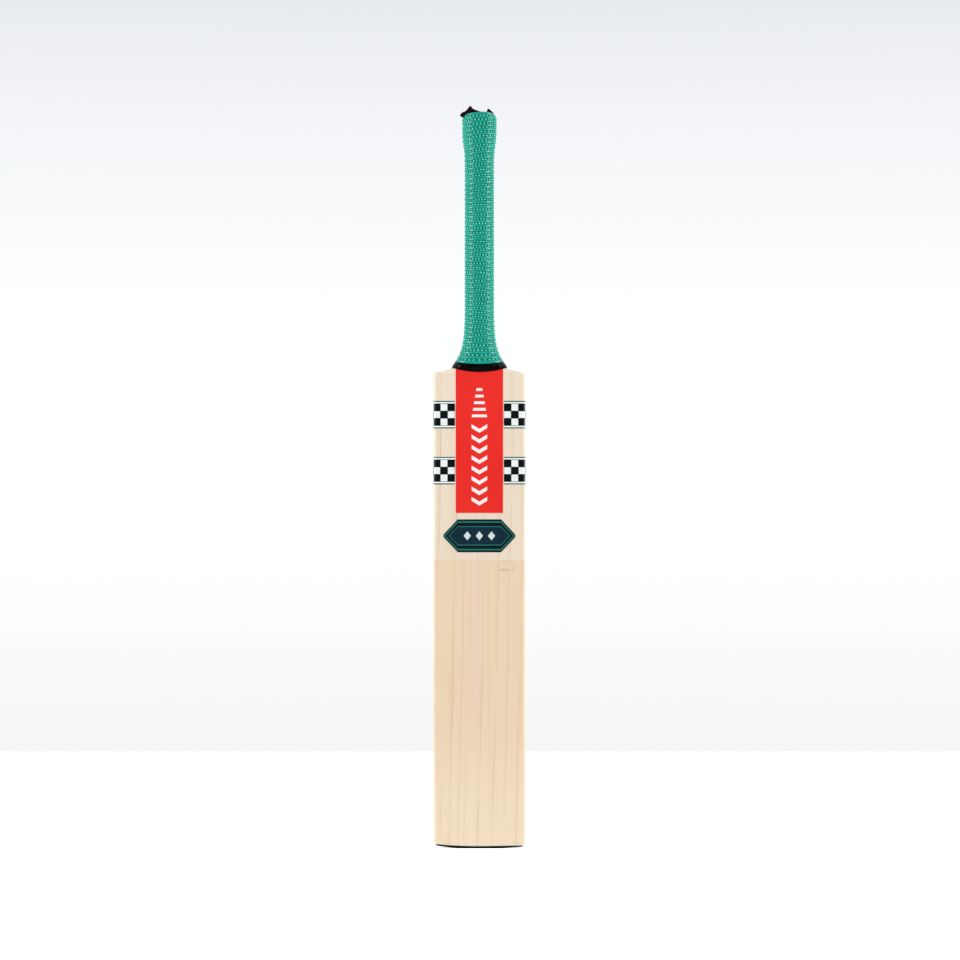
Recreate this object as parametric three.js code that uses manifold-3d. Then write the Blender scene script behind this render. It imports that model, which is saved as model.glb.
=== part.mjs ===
// A full-size, short-handle cricket bat standing on its toe.
//
// The willow blade has a V-shaped socket that holds the tongue of a laminated cane handle.
// The handle is four slips of three cane strips with three rubber strips between the slips,
// bound with twine under a rubber grip, with tape round the neck and a rubber guard on the toe.
//
// Millimetres. X runs across the blade, Y from the hitting face to the spine, Z up from the ground.
// The origin is on the ground, in the middle of the bat's width and depth.

import * as THREE from "three";
import { mergeVertices } from "three/addons/utils/BufferGeometryUtils.js";
import Module from "manifold-3d";

// --- Driving dimensions ---------------------------------------------------------------------

const HALF_WIDTH = 53.4; // of the blade, at the edges
const HANDLE_TOP = 848; // top of the cane
const GRIP_TOP = 851; // overall length, over the grip's lip
const FACE_SETBACK = -27.5; // puts the middle of the bat's depth at Y = 0

const FACE_CROWN = 1.0; // the face is this much further back at its edges
const SIDE_CROWN = 0.6; // the blade's sides are this much fuller at mid thickness
const TOE_BOW = 3.5; // the toe curves this far forward of mid blade
const BOW_CENTRE = 300; // height of the blade's rearmost face line
const BOW_END = 550; // above the shoulders the handle is straight

const FRONT_CORNER = 3.6; // edge radius between face and side
const BACK_CORNER = 4.5; // edge radius between side and back
const HANDLE_CENTRE = 21; // distance from the face plane back to the handle's axis

const TOE_GAP = 2.5; // willow's height above the ground at the centre of the toe
const TOE_SAG = 1.7; // rise of the willow's lower edge from the centre to the corners
const TOE_LEAN = 0.6; // this share of it more at the left corner, and less at the right
const TOE_SAG_END = 45; // height where the toe's curve has faded out
const REST_HALF_WIDTH = 22; // of the flat that the toe guard stands on
const GUARD_CORNER_LIFT = 2.4; // rise of the guard's underside at the corners
const GUARD_LEAN = 0.3; // this share of it more at the left corner, and less at the right
const GUARD_LENGTH = 104; // of the toe guard, across the blade

const GLUE = 0.1; // glue line between bonded pieces
const FILM = 0.25; // thickness of a sticker or facing
const TWINE = 0.8; // thickness of the twine binding
const TWINE_LOW = 570; // the binding runs from here
const TWINE_HIGH = 846; // to here
const GRIP = 2.1; // thickness of the rubber grip
const NECK_TAPE = 0.9; // thickness of the tape round the neck

const SPLICE_TIP = 400; // height of the tongue's tip
const SPLICE_TOP = 552; // height of the shoulders on the tongue
const SPLICE_TIP_HALF = 1.5;
const SPLICE_TOP_HALF = 20.5;
const STRIP_HALF_WIDTH = 5.2; // of the middle cane strips
const RUBBER_PITCH = 7.5; // between the rubber strips, front to back
const RUBBER = 1.5; // thickness of a rubber strip

const NECK_LOW = 555.4; // lower edge of the neck tape, at the bat's sides
const NECK_HIGH = 562.5; // where tape and grip meet, at the bat's sides
const NECK_DIP_LOW = 5.2; // the tape's lower edge is this much lower on the face and the back
const NECK_DIP_HIGH = 3.0; // and so is the grip's edge
const GRIP_HOLE = 9.5; // radius of the hole in the grip's top
const GRIP_LIP = 4.5; // how far in the grip's top edge is rounded
const CROWN_START = 845.2; // height where that rounding starts
const RIM_DIP_LEFT = 1.6; // the grip's top edge is pulled down this much at the left
const RIM_DIP_RIGHT = 1.2; // and at the right
const DIP_START_LEFT = 4; // how far from the middle the left dip starts
const DIP_START_RIGHT = 8; // and the right one
const DIP_FULL = 20; // and where both are at their deepest
const EDGE_FADE = 30; // above the neck, the grip's sections are level again over this height
const SEAT_LOW = 550; // the grip's inside widens from the bare handle at this height
const SEAT_HIGH = 566; // to the bound handle at this one
const CUT_LOW = 540; // the handle's space is cut out from here, well below the tape
const CUT_HIGH = 575; // to here in the tape, well above it

const LABEL_HALF_WIDTH = 27.3; // red face label
const LABEL_BOTTOM = 387.4;
const LABEL_TOP = 549;
const BACK_LABEL_TOP = 540;
const BAND_START = 28.3; // distance of a checked band from the bat's centre line
const BAND_HEIGHTS = [
  ["lower", 420.4, 452.2],
  ["upper", 485.1, 516.9],
];
const BADGE_HALF_WIDTH = 41.5;
const BADGE_HALF_HEIGHT = 19;
const BADGE_CENTRE = 361;
const BADGE_SHOULDER = 25; // half length of the badge's level edges
const FACING_TOP = 332.8; // clear facing on the lower face
const FACING_BOTTOM = 4.8;
const FACING_WRAP = 0.2; // how far it turns round the sides, as a share of their depth

// Shares of the back's half width where the back label ends and the checked bands end.
const BACK_LABEL_EDGE = 0.5;
const BACK_BAND_EDGE = 0.55;

// --- Profiles along the height ---------------------------------------------------------------

// A smooth curve through [height, value] stations that never overshoots them.
function profile(stations) {
  const slopes = stations
    .slice(1)
    .map(([z, v], i) => (v - stations[i][1]) / (z - stations[i][0]));
  const tangents = stations.map((_, i) => {
    const before = slopes[Math.max(0, i - 1)];
    const after = slopes[Math.min(slopes.length - 1, i)];
    return before * after > 0 ? (2 * before * after) / (before + after) : 0;
  });
  return (z) => {
    const last = stations.length - 2;
    const i = Math.min(last, Math.max(0, stations.findIndex(([h]) => h > z) - 1));
    const k = z >= stations[last + 1][0] ? last : i;
    const [z0, v0] = stations[k];
    const [z1, v1] = stations[k + 1];
    const span = z1 - z0;
    const t = Math.min(1, Math.max(0, (z - z0) / span));
    const rise = t * t * (3 - 2 * t);
    return (
      v0 +
      (v1 - v0) * rise +
      span * t * (1 - t) * (tangents[k] * (1 - t) - tangents[k + 1] * t)
    );
  };
}

const halfWidth = profile([
  [0, HALF_WIDTH - 0.6],
  [14, HALF_WIDTH],
  [547.8, HALF_WIDTH],
  [549.4, 52.6],
  [550, 50.2],
  [551, 43.4],
  [552.6, 37.6],
  [554.6, 33.2],
  [557.5, 29.8],
  [561, 27.0],
  [565, 24.2],
  [570, 21.2],
  [576, 18.9],
  [583, 17.1],
  [592, 15.7],
  [604, 14.8],
  [620, 14.3],
  [790, 14.2],
  [806, 14.9],
  [815, 16.0],
  [824, 17.0],
  [842, 17.2],
  [HANDLE_TOP, 16.6],
]);

// Distance from the face plane back to the top of the spine.
const spine = profile([
  [0, 20.5],
  [25, 30],
  [70, 44],
  [130, 55],
  [215, 62],
  [270, 61.5],
  [340, 57.5],
  [430, 50],
  [500, 44.5],
  [552, 41],
  [575, 37.8],
  [600, 35.6],
  [620, HANDLE_CENTRE + 13.9],
  [790, HANDLE_CENTRE + 13.8],
  [824, HANDLE_CENTRE + 16.6],
  [HANDLE_TOP, HANDLE_CENTRE + 16.2],
]);

// Distance from the face plane back to the rear corner of the blade's side.
const sideDepth = profile([
  [0, 17.5],
  [40, 24],
  [110, 33],
  [200, 38.6],
  [280, 38.2],
  [370, 33.5],
  [460, 27.5],
  [548, 22.5],
  [560, 30],
  [580, 37],
  [600, 35.6],
  [620, HANDLE_CENTRE + 13.9],
  [790, HANDLE_CENTRE + 13.8],
  [824, HANDLE_CENTRE + 16.6],
  [HANDLE_TOP, HANDLE_CENTRE + 16.2],
]);

// Distance from the face plane back to the front of the section.
const faceSetback = profile([
  [0, 0],
  [552, 0],
  [561, 1.2],
  [575, 4.6],
  [592, 6.7],
  [620, HANDLE_CENTRE - 13.9],
  [790, HANDLE_CENTRE - 13.8],
  [824, HANDLE_CENTRE - 16.6],
  [HANDLE_TOP, HANDLE_CENTRE - 16.2],
]);

// How round the section is: 0 for the blade's small corners, 1 for the handle's oval.
const roundness = profile([
  [0, 0],
  [547, 0],
  [556, 0.4],
  [568, 0.8],
  [590, 1],
  [HANDLE_TOP, 1],
]);

// Forward curve of the blade, carried on as a straight lean by the handle.
function bow(z) {
  const k = TOE_BOW / BOW_CENTRE ** 2;
  const within = Math.min(z, BOW_END) - BOW_CENTRE;
  const beyond = Math.max(0, z - BOW_END);
  return -k * within * (within + 2 * beyond);
}
const HANDLE_LEAN = (2 * TOE_BOW * (BOW_END - BOW_CENTRE)) / BOW_CENTRE ** 2;

const smooth = (t) => {
  const c = Math.min(1, Math.max(0, t));
  return c * c * (3 - 2 * c);
};

// Lift of the willow's lower edge towards the corners of the toe.
function toeLift(x, z) {
  const share = x / HALF_WIDTH;
  const corner = TOE_SAG * share ** 2 * (1 - TOE_LEAN * share);
  return corner * (1 - smooth((z - TOE_GAP) / TOE_SAG_END));
}

// Lift of the toe guard's underside beyond the flat that it stands on.
function guardLift(x) {
  const rise = smooth((Math.abs(x) - REST_HALF_WIDTH) / (HALF_WIDTH - REST_HALF_WIDTH));
  return GUARD_CORNER_LIFT * rise * (1 - (GUARD_LEAN * x) / HALF_WIDTH);
}

// A point of the level section in its place in the bat.
const place = (x, y, z) =>
  new THREE.Vector3(x, y + bow(z) + FACE_SETBACK, z + toeLift(x, z));

// --- Level sections --------------------------------------------------------------------------

// A point on the section's outline. Position s is 0 at the middle of the face, 1 to 2 round the front
// corner, 2 to 3 along the side, 3 to 4 round the back corner and 5 at the middle of the back.
// Positions past 5, or below 0, are on the other side of the bat.
function outlinePoint(s, z) {
  const turned = ((s % 10) + 10) % 10;
  const mirror = turned > 5 ? -1 : 1;
  const p = turned > 5 ? 10 - turned : turned;
  const w = halfWidth(z);
  const front = faceSetback(z);
  const back = spine(z);
  const side = sideDepth(z);
  const round = roundness(z);
  const deep = (back - front) / 2;
  const rxFront = THREE.MathUtils.lerp(FRONT_CORNER, 0.92 * w, round);
  const ryFront = THREE.MathUtils.lerp(FRONT_CORNER, 0.95 * deep, round);
  const rxBack = THREE.MathUtils.lerp(BACK_CORNER, 0.92 * w, round);
  const ryBack = THREE.MathUtils.lerp(BACK_CORNER, 0.95 * deep, round);
  const faceAt = (x) => front + FACE_CROWN * (1 - round) * (x / w) ** 2;
  const backAt = (x) =>
    side + (back - side) * 0.5 * (1 + Math.cos(Math.PI * (Math.abs(x) / w) ** 0.85));
  const frontEnd = faceAt(w - rxFront) + ryFront;
  const backEnd = backAt(w - rxBack) - ryBack;
  const quarter = (t) => (t * Math.PI) / 2;
  let x, y;
  if (p <= 1) {
    x = p * (w - rxFront);
    y = faceAt(x);
  } else if (p <= 2) {
    x = w - rxFront * (1 - Math.sin(quarter(p - 1))) - SIDE_CROWN * (1 - round) * (p - 1);
    y = frontEnd - ryFront * Math.cos(quarter(p - 1));
  } else if (p <= 3) {
    x = w - SIDE_CROWN * (1 - round) * (2 * (p - 2) - 1) ** 2;
    y = THREE.MathUtils.lerp(frontEnd, backEnd, p - 2);
  } else if (p <= 4) {
    x = w - rxBack * (1 - Math.cos(quarter(p - 3))) - SIDE_CROWN * (1 - round) * (4 - p);
    y = backEnd + ryBack * Math.sin(quarter(p - 3));
  } else {
    x = (5 - p) * (w - rxBack);
    y = backAt(x);
  }
  return new THREE.Vector2(mirror * x, y);
}

// The same point moved outwards, square to the outline.
function grownPoint(s, z, grow) {
  const step = 0.02;
  const along = outlinePoint(s + step, z).sub(outlinePoint(s - step, z)).normalize();
  return outlinePoint(s, z).add(new THREE.Vector2(along.y, -along.x).multiplyScalar(grow));
}

const evenly = (from, to, count) =>
  Array.from({ length: count + 1 }, (_, i) => from + ((to - from) * i) / count);

// Outline positions of one half, from the middle of the face to the middle of the back.
const HALF_STATIONS = [
  ...evenly(0, 1, 4),
  ...evenly(1.25, 2, 3),
  2.5,
  3,
  ...evenly(3 + 1 / 3, 4, 2),
  4.15,
  4.3,
  5 - BACK_BAND_EDGE,
  5 - BACK_LABEL_EDGE,
  4.62,
  4.74,
  4.87,
  5,
];
const STATIONS = [
  ...HALF_STATIONS,
  ...HALF_STATIONS.slice(1, -1)
    .reverse()
    .map((s) => 10 - s),
];
const FRONT_COUNT = 11; // stations of one half that a cap joins to the back

// One level ring of the bat's outline, grown outwards. move may shift each point's height.
function ring(z, grow = 0, move = (x, height) => height) {
  return STATIONS.map((s) => {
    const reach = outlinePoint(s, z).x;
    const height = move(reach, z);
    const p = grownPoint(s, height, grow);
    return place(p.x, p.y, height);
  });
}

// --- Meshes from rings -----------------------------------------------------------------------

function geometryOf(points, faces) {
  const flat = new Float32Array(points.flatMap((p) => [p.x, p.y, p.z]));
  return new THREE.BufferGeometry()
    .setAttribute("position", new THREE.BufferAttribute(flat, 3))
    .setIndex(faces.flat());
}

const quad = (a, b, c, d) => [
  [a, b, c],
  [a, c, d],
];

// A closed solid through rings from the lowest to the highest. Each end is closed by strips that
// run from the face to the back.
function loft(rings) {
  const n = rings[0].length;
  const faces = [];
  for (let j = 0; j + 1 < rings.length; j++) {
    for (let i = 0; i < n; i++) {
      const next = (i + 1) % n;
      faces.push(...quad(j * n + i, j * n + next, (j + 1) * n + next, (j + 1) * n + i));
    }
  }
  const half = n / 2;
  const top = (rings.length - 1) * n;
  const cap = (i, up) => {
    // The front half has fewer stations than the back, so the last front one is used again.
    const front = Math.min(i, FRONT_COUNT - 1);
    return { front, back: half - i, base: up ? top : 0 };
  };
  const close = (a, b, c, base, up) => {
    if (a === b || b === c || a === c) return;
    faces.push(up ? [base + a, base + b, base + c] : [base + a, base + c, base + b]);
  };
  for (const up of [false, true]) {
    for (let i = 0; half - i - 1 >= FRONT_COUNT - 1; i++) {
      const here = cap(i, up);
      const there = cap(i + 1, up);
      close(here.front, there.front, there.back, here.base, up);
      close(here.front, there.back, here.back, here.base, up);
      const mirrored = (k) => (n - k) % n;
      close(mirrored(there.front), mirrored(here.front), mirrored(there.back), here.base, up);
      close(mirrored(here.front), mirrored(here.back), mirrored(there.back), here.base, up);
    }
  }
  return geometryOf(rings.flat(), faces);
}

// A ring-shaped solid whose section is the closed run of the rings.
function hoop(rings) {
  const n = rings[0].length;
  const faces = [];
  rings.forEach((_, j) => {
    const up = (j + 1) % rings.length;
    for (let i = 0; i < n; i++) {
      const next = (i + 1) % n;
      faces.push(...quad(j * n + i, j * n + next, up * n + next, up * n + i));
    }
  });
  return geometryOf(rings.flat(), faces);
}

// A thin film stuck to the blade. It covers the outline positions given, and at each of them runs
// from low to high, following the heights given as shares.
function film(positions, low, high, shares) {
  const rows = shares.length;
  const at = (grow) =>
    positions.flatMap((s) => {
      const reach = outlinePoint(s, BOW_CENTRE).x;
      return shares.map((share) => {
        const z = THREE.MathUtils.lerp(low(reach), high(reach), share);
        const p = grownPoint(s, z, grow);
        return place(p.x, p.y, z);
      });
    });
  const points = [...at(GLUE), ...at(GLUE + FILM)];
  const outer = positions.length * rows;
  const faces = [];
  for (let i = 0; i + 1 < positions.length; i++) {
    for (let j = 0; j + 1 < rows; j++) {
      const a = i * rows + j;
      const b = a + rows;
      faces.push(...quad(outer + a, outer + b, outer + b + 1, outer + a + 1));
      faces.push(...quad(a, a + 1, b + 1, b));
    }
  }
  const wall = (a, b) => faces.push(...quad(a, b, outer + b, outer + a));
  const lastColumn = (positions.length - 1) * rows;
  for (let j = 0; j + 1 < rows; j++) {
    wall(j + 1, j);
    wall(lastColumn + j, lastColumn + j + 1);
  }
  for (let i = 0; i + 1 < positions.length; i++) {
    wall(i * rows, (i + 1) * rows);
    wall((i + 1) * rows + rows - 1, i * rows + rows - 1);
  }
  return geometryOf(points, faces);
}

// --- Solids ----------------------------------------------------------------------------------

const wasm = await Module();
wasm.setup();

function solidOf(geometry) {
  const bare = geometry.clone();
  bare.deleteAttribute("normal");
  bare.deleteAttribute("uv");
  const merged = mergeVertices(bare, 1e-4);
  return new wasm.Manifold(
    new wasm.Mesh({
      numProp: 3,
      vertProperties: merged.attributes.position.array,
      triVerts: new Uint32Array(merged.index.array),
    }),
  );
}

function geometryFrom(solid) {
  const mesh = solid.getMesh();
  return new THREE.BufferGeometry()
    .setAttribute("position", new THREE.BufferAttribute(mesh.vertProperties, 3))
    .setIndex(new THREE.BufferAttribute(mesh.triVerts, 1));
}

const bat = new THREE.Group();

function add(name, geometry, material) {
  const mesh = new THREE.Mesh(geometry, material);
  mesh.name = name;
  bat.add(mesh);
  return mesh;
}

const finish = (color, roughness) =>
  new THREE.MeshStandardMaterial({ color, roughness, metalness: 0 });

const MATERIALS = {
  willow: finish(0xe9d3b6, 0.55),
  facing: finish(0xe6cba6, 0.4),
  cane: finish(0xc9a468, 0.6),
  insert: finish(0x2b2522, 0.85),
  twine: finish(0xd9cdb2, 0.9),
  grip: finish(0x17a087, 0.45),
  tape: finish(0x0b0c0c, 0.3),
  guard: finish(0x141414, 0.6),
  red: finish(0xe8332f, 0.35),
  check: finish(0x8f9a99, 0.35),
  badge: finish(0x10262c, 0.35),
  cloth: finish(0x1a0c0e, 0.8),
};

// --- Blade and handle ------------------------------------------------------------------------

// Heights of the level sections. The stickers' edges are among them, so that a sticker lies flat
// on the faces between sections.
const LEVELS = [
  FACING_BOTTOM,
  14,
  44,
  ...evenly(84, 292, 4),
  FACING_TOP,
  357,
  LABEL_BOTTOM,
  ...BAND_HEIGHTS.flatMap(([, low, high]) => [low, high]),
  BACK_LABEL_TOP,
  547.8,
  LABEL_TOP,
  550,
  551,
  552.6,
  554.6,
  557.5,
  561,
  565,
  570,
  576,
  583,
  592,
  604,
  620,
  700,
  790,
  806,
  815,
  824,
  842,
  HANDLE_TOP,
].sort((a, b) => a - b);

const TOE_EDGE = [
  [TOE_GAP, -1.6],
  [TOE_GAP + 0.5, -0.6],
  [TOE_GAP + 1.8, 0],
];

function core() {
  const toe = TOE_EDGE.map(([z, grow]) => ring(z, grow));
  return loft([...toe, ...LEVELS.map((z) => ring(z))]);
}

// The tongue's V and everything above it, seen from the face, right through the bat's depth.
function spliceWedge(gap) {
  const side = SPLICE_TOP_HALF + gap;
  const lean = (SPLICE_TOP_HALF - SPLICE_TIP_HALF) / (SPLICE_TOP - SPLICE_TIP);
  const high = HANDLE_TOP + 20;
  const widest = side + lean * 24;
  const half = [
    [SPLICE_TIP_HALF + gap, SPLICE_TIP - gap],
    [side, SPLICE_TOP],
    [widest, SPLICE_TOP + 24],
    [widest, high],
  ];
  const corners = [...half, ...half.map(([x, z]) => [-x, z]).reverse()];
  const shape = new THREE.Shape(corners.map(([x, z]) => new THREE.Vector2(x, z)));
  const depth = 120;
  return solidOf(
    new THREE.ExtrudeGeometry(shape, { depth, bevelEnabled: false })
      .rotateX(Math.PI / 2)
      .translate(0, depth / 2, 0),
  );
}

// A box in the handle's own leaning frame, from its side limits x and its depth limits y.
function handleBox([x0, x1], [y0, y1]) {
  const length = 1200;
  const pivot = place(0, HANDLE_CENTRE, BOW_END);
  return solidOf(
    new THREE.BoxGeometry(x1 - x0, y1 - y0, length)
      .translate((x0 + x1) / 2, (y0 + y1) / 2, 0)
      .rotateX(Math.atan(HANDLE_LEAN))
      .translate(0, pivot.y, pivot.z),
  );
}

const wholeBat = solidOf(core());
add("blade", geometryFrom(wholeBat.subtract(spliceWedge(GLUE))), MATERIALS.willow);
const handle = wholeBat.intersect(spliceWedge(0));

const FAR = 60; // past the handle's surface on any side
const strip = STRIP_HALF_WIDTH;
const columns = {
  left: [-FAR, -strip - GLUE / 2],
  centre: [-strip + GLUE / 2, strip - GLUE / 2],
  right: [strip + GLUE / 2, FAR],
};
const slipEdge = RUBBER / 2 + GLUE;
const slips = {
  front: [-FAR, -RUBBER_PITCH - slipEdge],
  mid_front: [-RUBBER_PITCH + slipEdge, -slipEdge],
  mid_back: [slipEdge, RUBBER_PITCH - slipEdge],
  back: [RUBBER_PITCH + slipEdge, FAR],
};
for (const [slip, depth] of Object.entries(slips)) {
  for (const [column, width] of Object.entries(columns)) {
    const piece = handle.intersect(handleBox(width, depth));
    add(`cane_strip_${slip}_${column}`, geometryFrom(piece), MATERIALS.cane);
  }
}
["front", "middle", "back"].forEach((place, i) => {
  const y = (i - 1) * RUBBER_PITCH;
  const piece = handle.intersect(handleBox([-FAR, FAR], [y - RUBBER / 2, y + RUBBER / 2]));
  add(`rubber_strip_${place}`, geometryFrom(piece), MATERIALS.insert);
});

// --- Binding, grip and neck tape --------------------------------------------------------------

const between = (low, high) => [low, ...LEVELS.filter((z) => z > low && z < high), high];

function twineBinding() {
  const heights = between(TWINE_LOW, TWINE_HIGH);
  const outer = heights.map((z) => ring(z, GLUE + TWINE));
  const inner = heights.map((z) => ring(z, GLUE)).reverse();
  return hoop([...outer, ...inner]);
}
add("twine_binding", twineBinding(), MATERIALS.twine);

// Edges round the neck dip towards the middle of the face and of the back.
function dipped(level) {
  const share = (level - NECK_LOW) / (NECK_HIGH - NECK_LOW);
  const dip = THREE.MathUtils.lerp(NECK_DIP_LOW, NECK_DIP_HIGH, share);
  return (x) => level - dip * (1 - Math.min(1, (x / halfWidth(level)) ** 2));
}

const UNDER_GRIP = 2 * GLUE + TWINE;
const gripEdge = dipped(NECK_HIGH);

// The space inside the grip: the bound handle, and the hole in the top.
function gripInside() {
  const widening = (z) => smooth((z - SEAT_LOW) / (SEAT_HIGH - SEAT_LOW));
  const heights = between(CUT_LOW, HANDLE_TOP + GLUE);
  const body = solidOf(loft(heights.map((z) => ring(z, UNDER_GRIP * widening(z)))));
  const axis = place(0, HANDLE_CENTRE, HANDLE_TOP);
  const hole = solidOf(
    new THREE.CylinderGeometry(GRIP_HOLE, GRIP_HOLE, 20, 32)
      .rotateX(Math.PI / 2)
      .translate(axis.x, axis.y, axis.z),
  );
  return body.add(hole);
}

// How far the grip's top edge lies below its middle.
const rimDip = (x) =>
  RIM_DIP_LEFT * smooth((-x - DIP_START_LEFT) / (DIP_FULL - DIP_START_LEFT)) +
  RIM_DIP_RIGHT * smooth((x - DIP_START_RIGHT) / (DIP_FULL - DIP_START_RIGHT));

function grip() {
  const full = UNDER_GRIP + GRIP;
  const heights = between(NECK_HIGH, CROWN_START - GRIP_LIP);
  const levelled = (z) => (x, height) =>
    THREE.MathUtils.lerp(gripEdge(x), height, smooth((z - NECK_HIGH) / EDGE_FADE));
  const skin = heights.map((z) => ring(z, full, levelled(z)));
  const crown = evenly(0, 1, 4).map((t) => {
    const turn = (t * Math.PI) / 2;
    const top = THREE.MathUtils.lerp(CROWN_START, GRIP_TOP, Math.sin(turn));
    const inset = GRIP_LIP * (1 - Math.cos(turn));
    return ring(HANDLE_TOP, full - inset).map((p) => p.setZ(top - rimDip(p.x)));
  });
  return solidOf(loft([...skin, ...crown])).subtract(gripInside());
}
add("grip", geometryFrom(grip()), MATERIALS.grip);

function neckTape() {
  const rows = evenly(0, 1, 4);
  const low = dipped(NECK_LOW);
  const skin = rows.map((t) =>
    ring(
      THREE.MathUtils.lerp(NECK_LOW, NECK_HIGH, t),
      THREE.MathUtils.lerp(GLUE + NECK_TAPE, UNDER_GRIP + GRIP, smooth(t)),
      (x) => THREE.MathUtils.lerp(low(x), gripEdge(x) - GLUE, t),
    ),
  );
  const heights = between(CUT_LOW, CUT_HIGH);
  const underneath = solidOf(loft(heights.map((z) => ring(z, GLUE))));
  return solidOf(loft(skin)).subtract(underneath);
}
add("neck_tape", geometryFrom(neckTape()), MATERIALS.tape);

// --- Toe guard -------------------------------------------------------------------------------

function toeGuard() {
  // Height above the ground and offset from the blade's outline, of each section.
  const rows = [
    [0, -2.2],
    [0.3, -1.1],
    [1.0, -0.6],
    [TOE_GAP - GLUE, -0.7],
  ];
  const rings = rows.map(([z, grow]) =>
    ring(TOE_GAP, grow).map((p) => {
      p.setX((p.x * GUARD_LENGTH) / (2 * HALF_WIDTH));
      const share = z / (TOE_GAP - GLUE);
      const lift = THREE.MathUtils.lerp(guardLift(p.x), toeLift(p.x, TOE_GAP), share);
      return p.setZ(z + lift);
    }),
  );
  return loft(rings);
}
add("toe_guard", toeGuard(), MATERIALS.guard);

// --- Stickers and facing ---------------------------------------------------------------------

const faceShare = (x) => x / (HALF_WIDTH - FRONT_CORNER);
const always = (z) => () => z;
const sharesOf = (low, high) => between(low, high).map((z) => (z - low) / (high - low));

function faceLabel() {
  const edge = faceShare(LABEL_HALF_WIDTH);
  return film(
    evenly(-edge, edge, 8),
    always(LABEL_BOTTOM),
    always(LABEL_TOP),
    sharesOf(LABEL_BOTTOM, LABEL_TOP),
  );
}
add("face_label", faceLabel(), MATERIALS.red);

function backLabel() {
  const half = HALF_STATIONS.filter((s) => s >= 5 - BACK_LABEL_EDGE);
  const across = [...half, ...half.slice(0, -1).reverse().map((s) => 10 - s)];
  return film(
    across,
    always(LABEL_BOTTOM),
    always(BACK_LABEL_TOP),
    sharesOf(LABEL_BOTTOM, BACK_LABEL_TOP),
  );
}
add("back_label", backLabel(), MATERIALS.red);

// A checked band runs from beside the face label, round the blade's edge, to the back label.
const bandPositions = [
  faceShare(BAND_START),
  ...HALF_STATIONS.filter((s) => s > faceShare(BAND_START) && s <= 5 - BACK_BAND_EDGE),
];
for (const [level, low, high] of BAND_HEIGHTS) {
  const geometry = film(bandPositions, always(low), always(high), sharesOf(low, high));
  add(`checked_band_${level}_right`, geometry, MATERIALS.check);
  add(`checked_band_${level}_left`, geometry.clone(), MATERIALS.check).scale.x = -1;
}

// A plain six-sided badge with pointed ends, in the middle of the face.
function badge() {
  const halfHeight = (x) => {
    const past = Math.max(0, Math.abs(x) - BADGE_SHOULDER);
    return BADGE_HALF_HEIGHT * (1 - (0.92 * past) / (BADGE_HALF_WIDTH - BADGE_SHOULDER));
  };
  const inner = evenly(-faceShare(BADGE_SHOULDER), faceShare(BADGE_SHOULDER), 6);
  const tip = faceShare(BADGE_HALF_WIDTH);
  return film(
    [-tip, ...inner, tip],
    (x) => BADGE_CENTRE - halfHeight(x),
    (x) => BADGE_CENTRE + halfHeight(x),
    [0, 0.5, 1],
  );
}
add("face_badge", badge(), MATERIALS.badge);

function clearFacing() {
  const side = 2 + FACING_WRAP;
  const half = [...HALF_STATIONS.filter((s) => s < side), side];
  const across = [...half.slice(1).reverse().map((s) => -s), ...half];
  return film(
    across,
    always(FACING_BOTTOM),
    always(FACING_TOP),
    sharesOf(FACING_BOTTOM, FACING_TOP),
  );
}
add("clear_facing", clearFacing(), MATERIALS.facing);

// --- Cloth tape on the handle's end ------------------------------------------------------------

// A strip of cloth tape lies across the cane's end, comes up through the hole in the grip and lies
// over its rim. The left end is folded up to a peak and hangs over; the right end is turned up.
function endCloth() {
  const width = 12;
  const forward = 2; // of the handle's axis
  const base = HANDLE_TOP + 0.3;
  const onRim = GRIP_TOP + 0.35;
  const thickness = 0.6;
  const well = Math.sqrt(GRIP_HOLE ** 2 - (width / 2 + forward) ** 2) - 0.4;
  const underside = [
    [-22.2, onRim - 4.1],
    [-19.1, onRim - 1.3],
    [-15.5, onRim],
    [-well, onRim],
    [-well, base],
    [well, base],
    [well, onRim],
    [12, onRim],
    [16.2, onRim - 1.2],
  ];
  const top = [
    [15.9, onRim - 0.4],
    [12.6, onRim + 2],
    [10.7, onRim + 4.8],
    [9.3, onRim + 1.2],
    [well - thickness, onRim + thickness],
    [well - thickness, base + thickness],
    [thickness - well, base + thickness],
    [thickness - well, onRim + thickness],
    [-7.6, onRim + 0.9],
    [-9.7, onRim + 7.8],
    [-13.2, onRim + 4.6],
    [-15.9, onRim + 1.4],
    [-19.5, onRim - 0.7],
    [-22.7, onRim - 3.7],
  ];
  const shape = new THREE.Shape([...underside, ...top].map((p) => new THREE.Vector2(...p)));
  const axis = place(0, HANDLE_CENTRE, HANDLE_TOP);
  return new THREE.ExtrudeGeometry(shape, { depth: width, bevelEnabled: false })
    .rotateX(Math.PI / 2)
    .translate(0, axis.y - forward + width / 2, 0);
}
add("end_cloth", endCloth(), MATERIALS.cloth);

export default bat;
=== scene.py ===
"""The looks of a short-handle cricket bat standing on its toe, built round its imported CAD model.

Shapes are worked out in millimetres, with X across the blade, Y from the hitting face to the spine
and Z up from the ground, as in the CAD model. make_object() turns them into metres.
"""

import math

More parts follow.
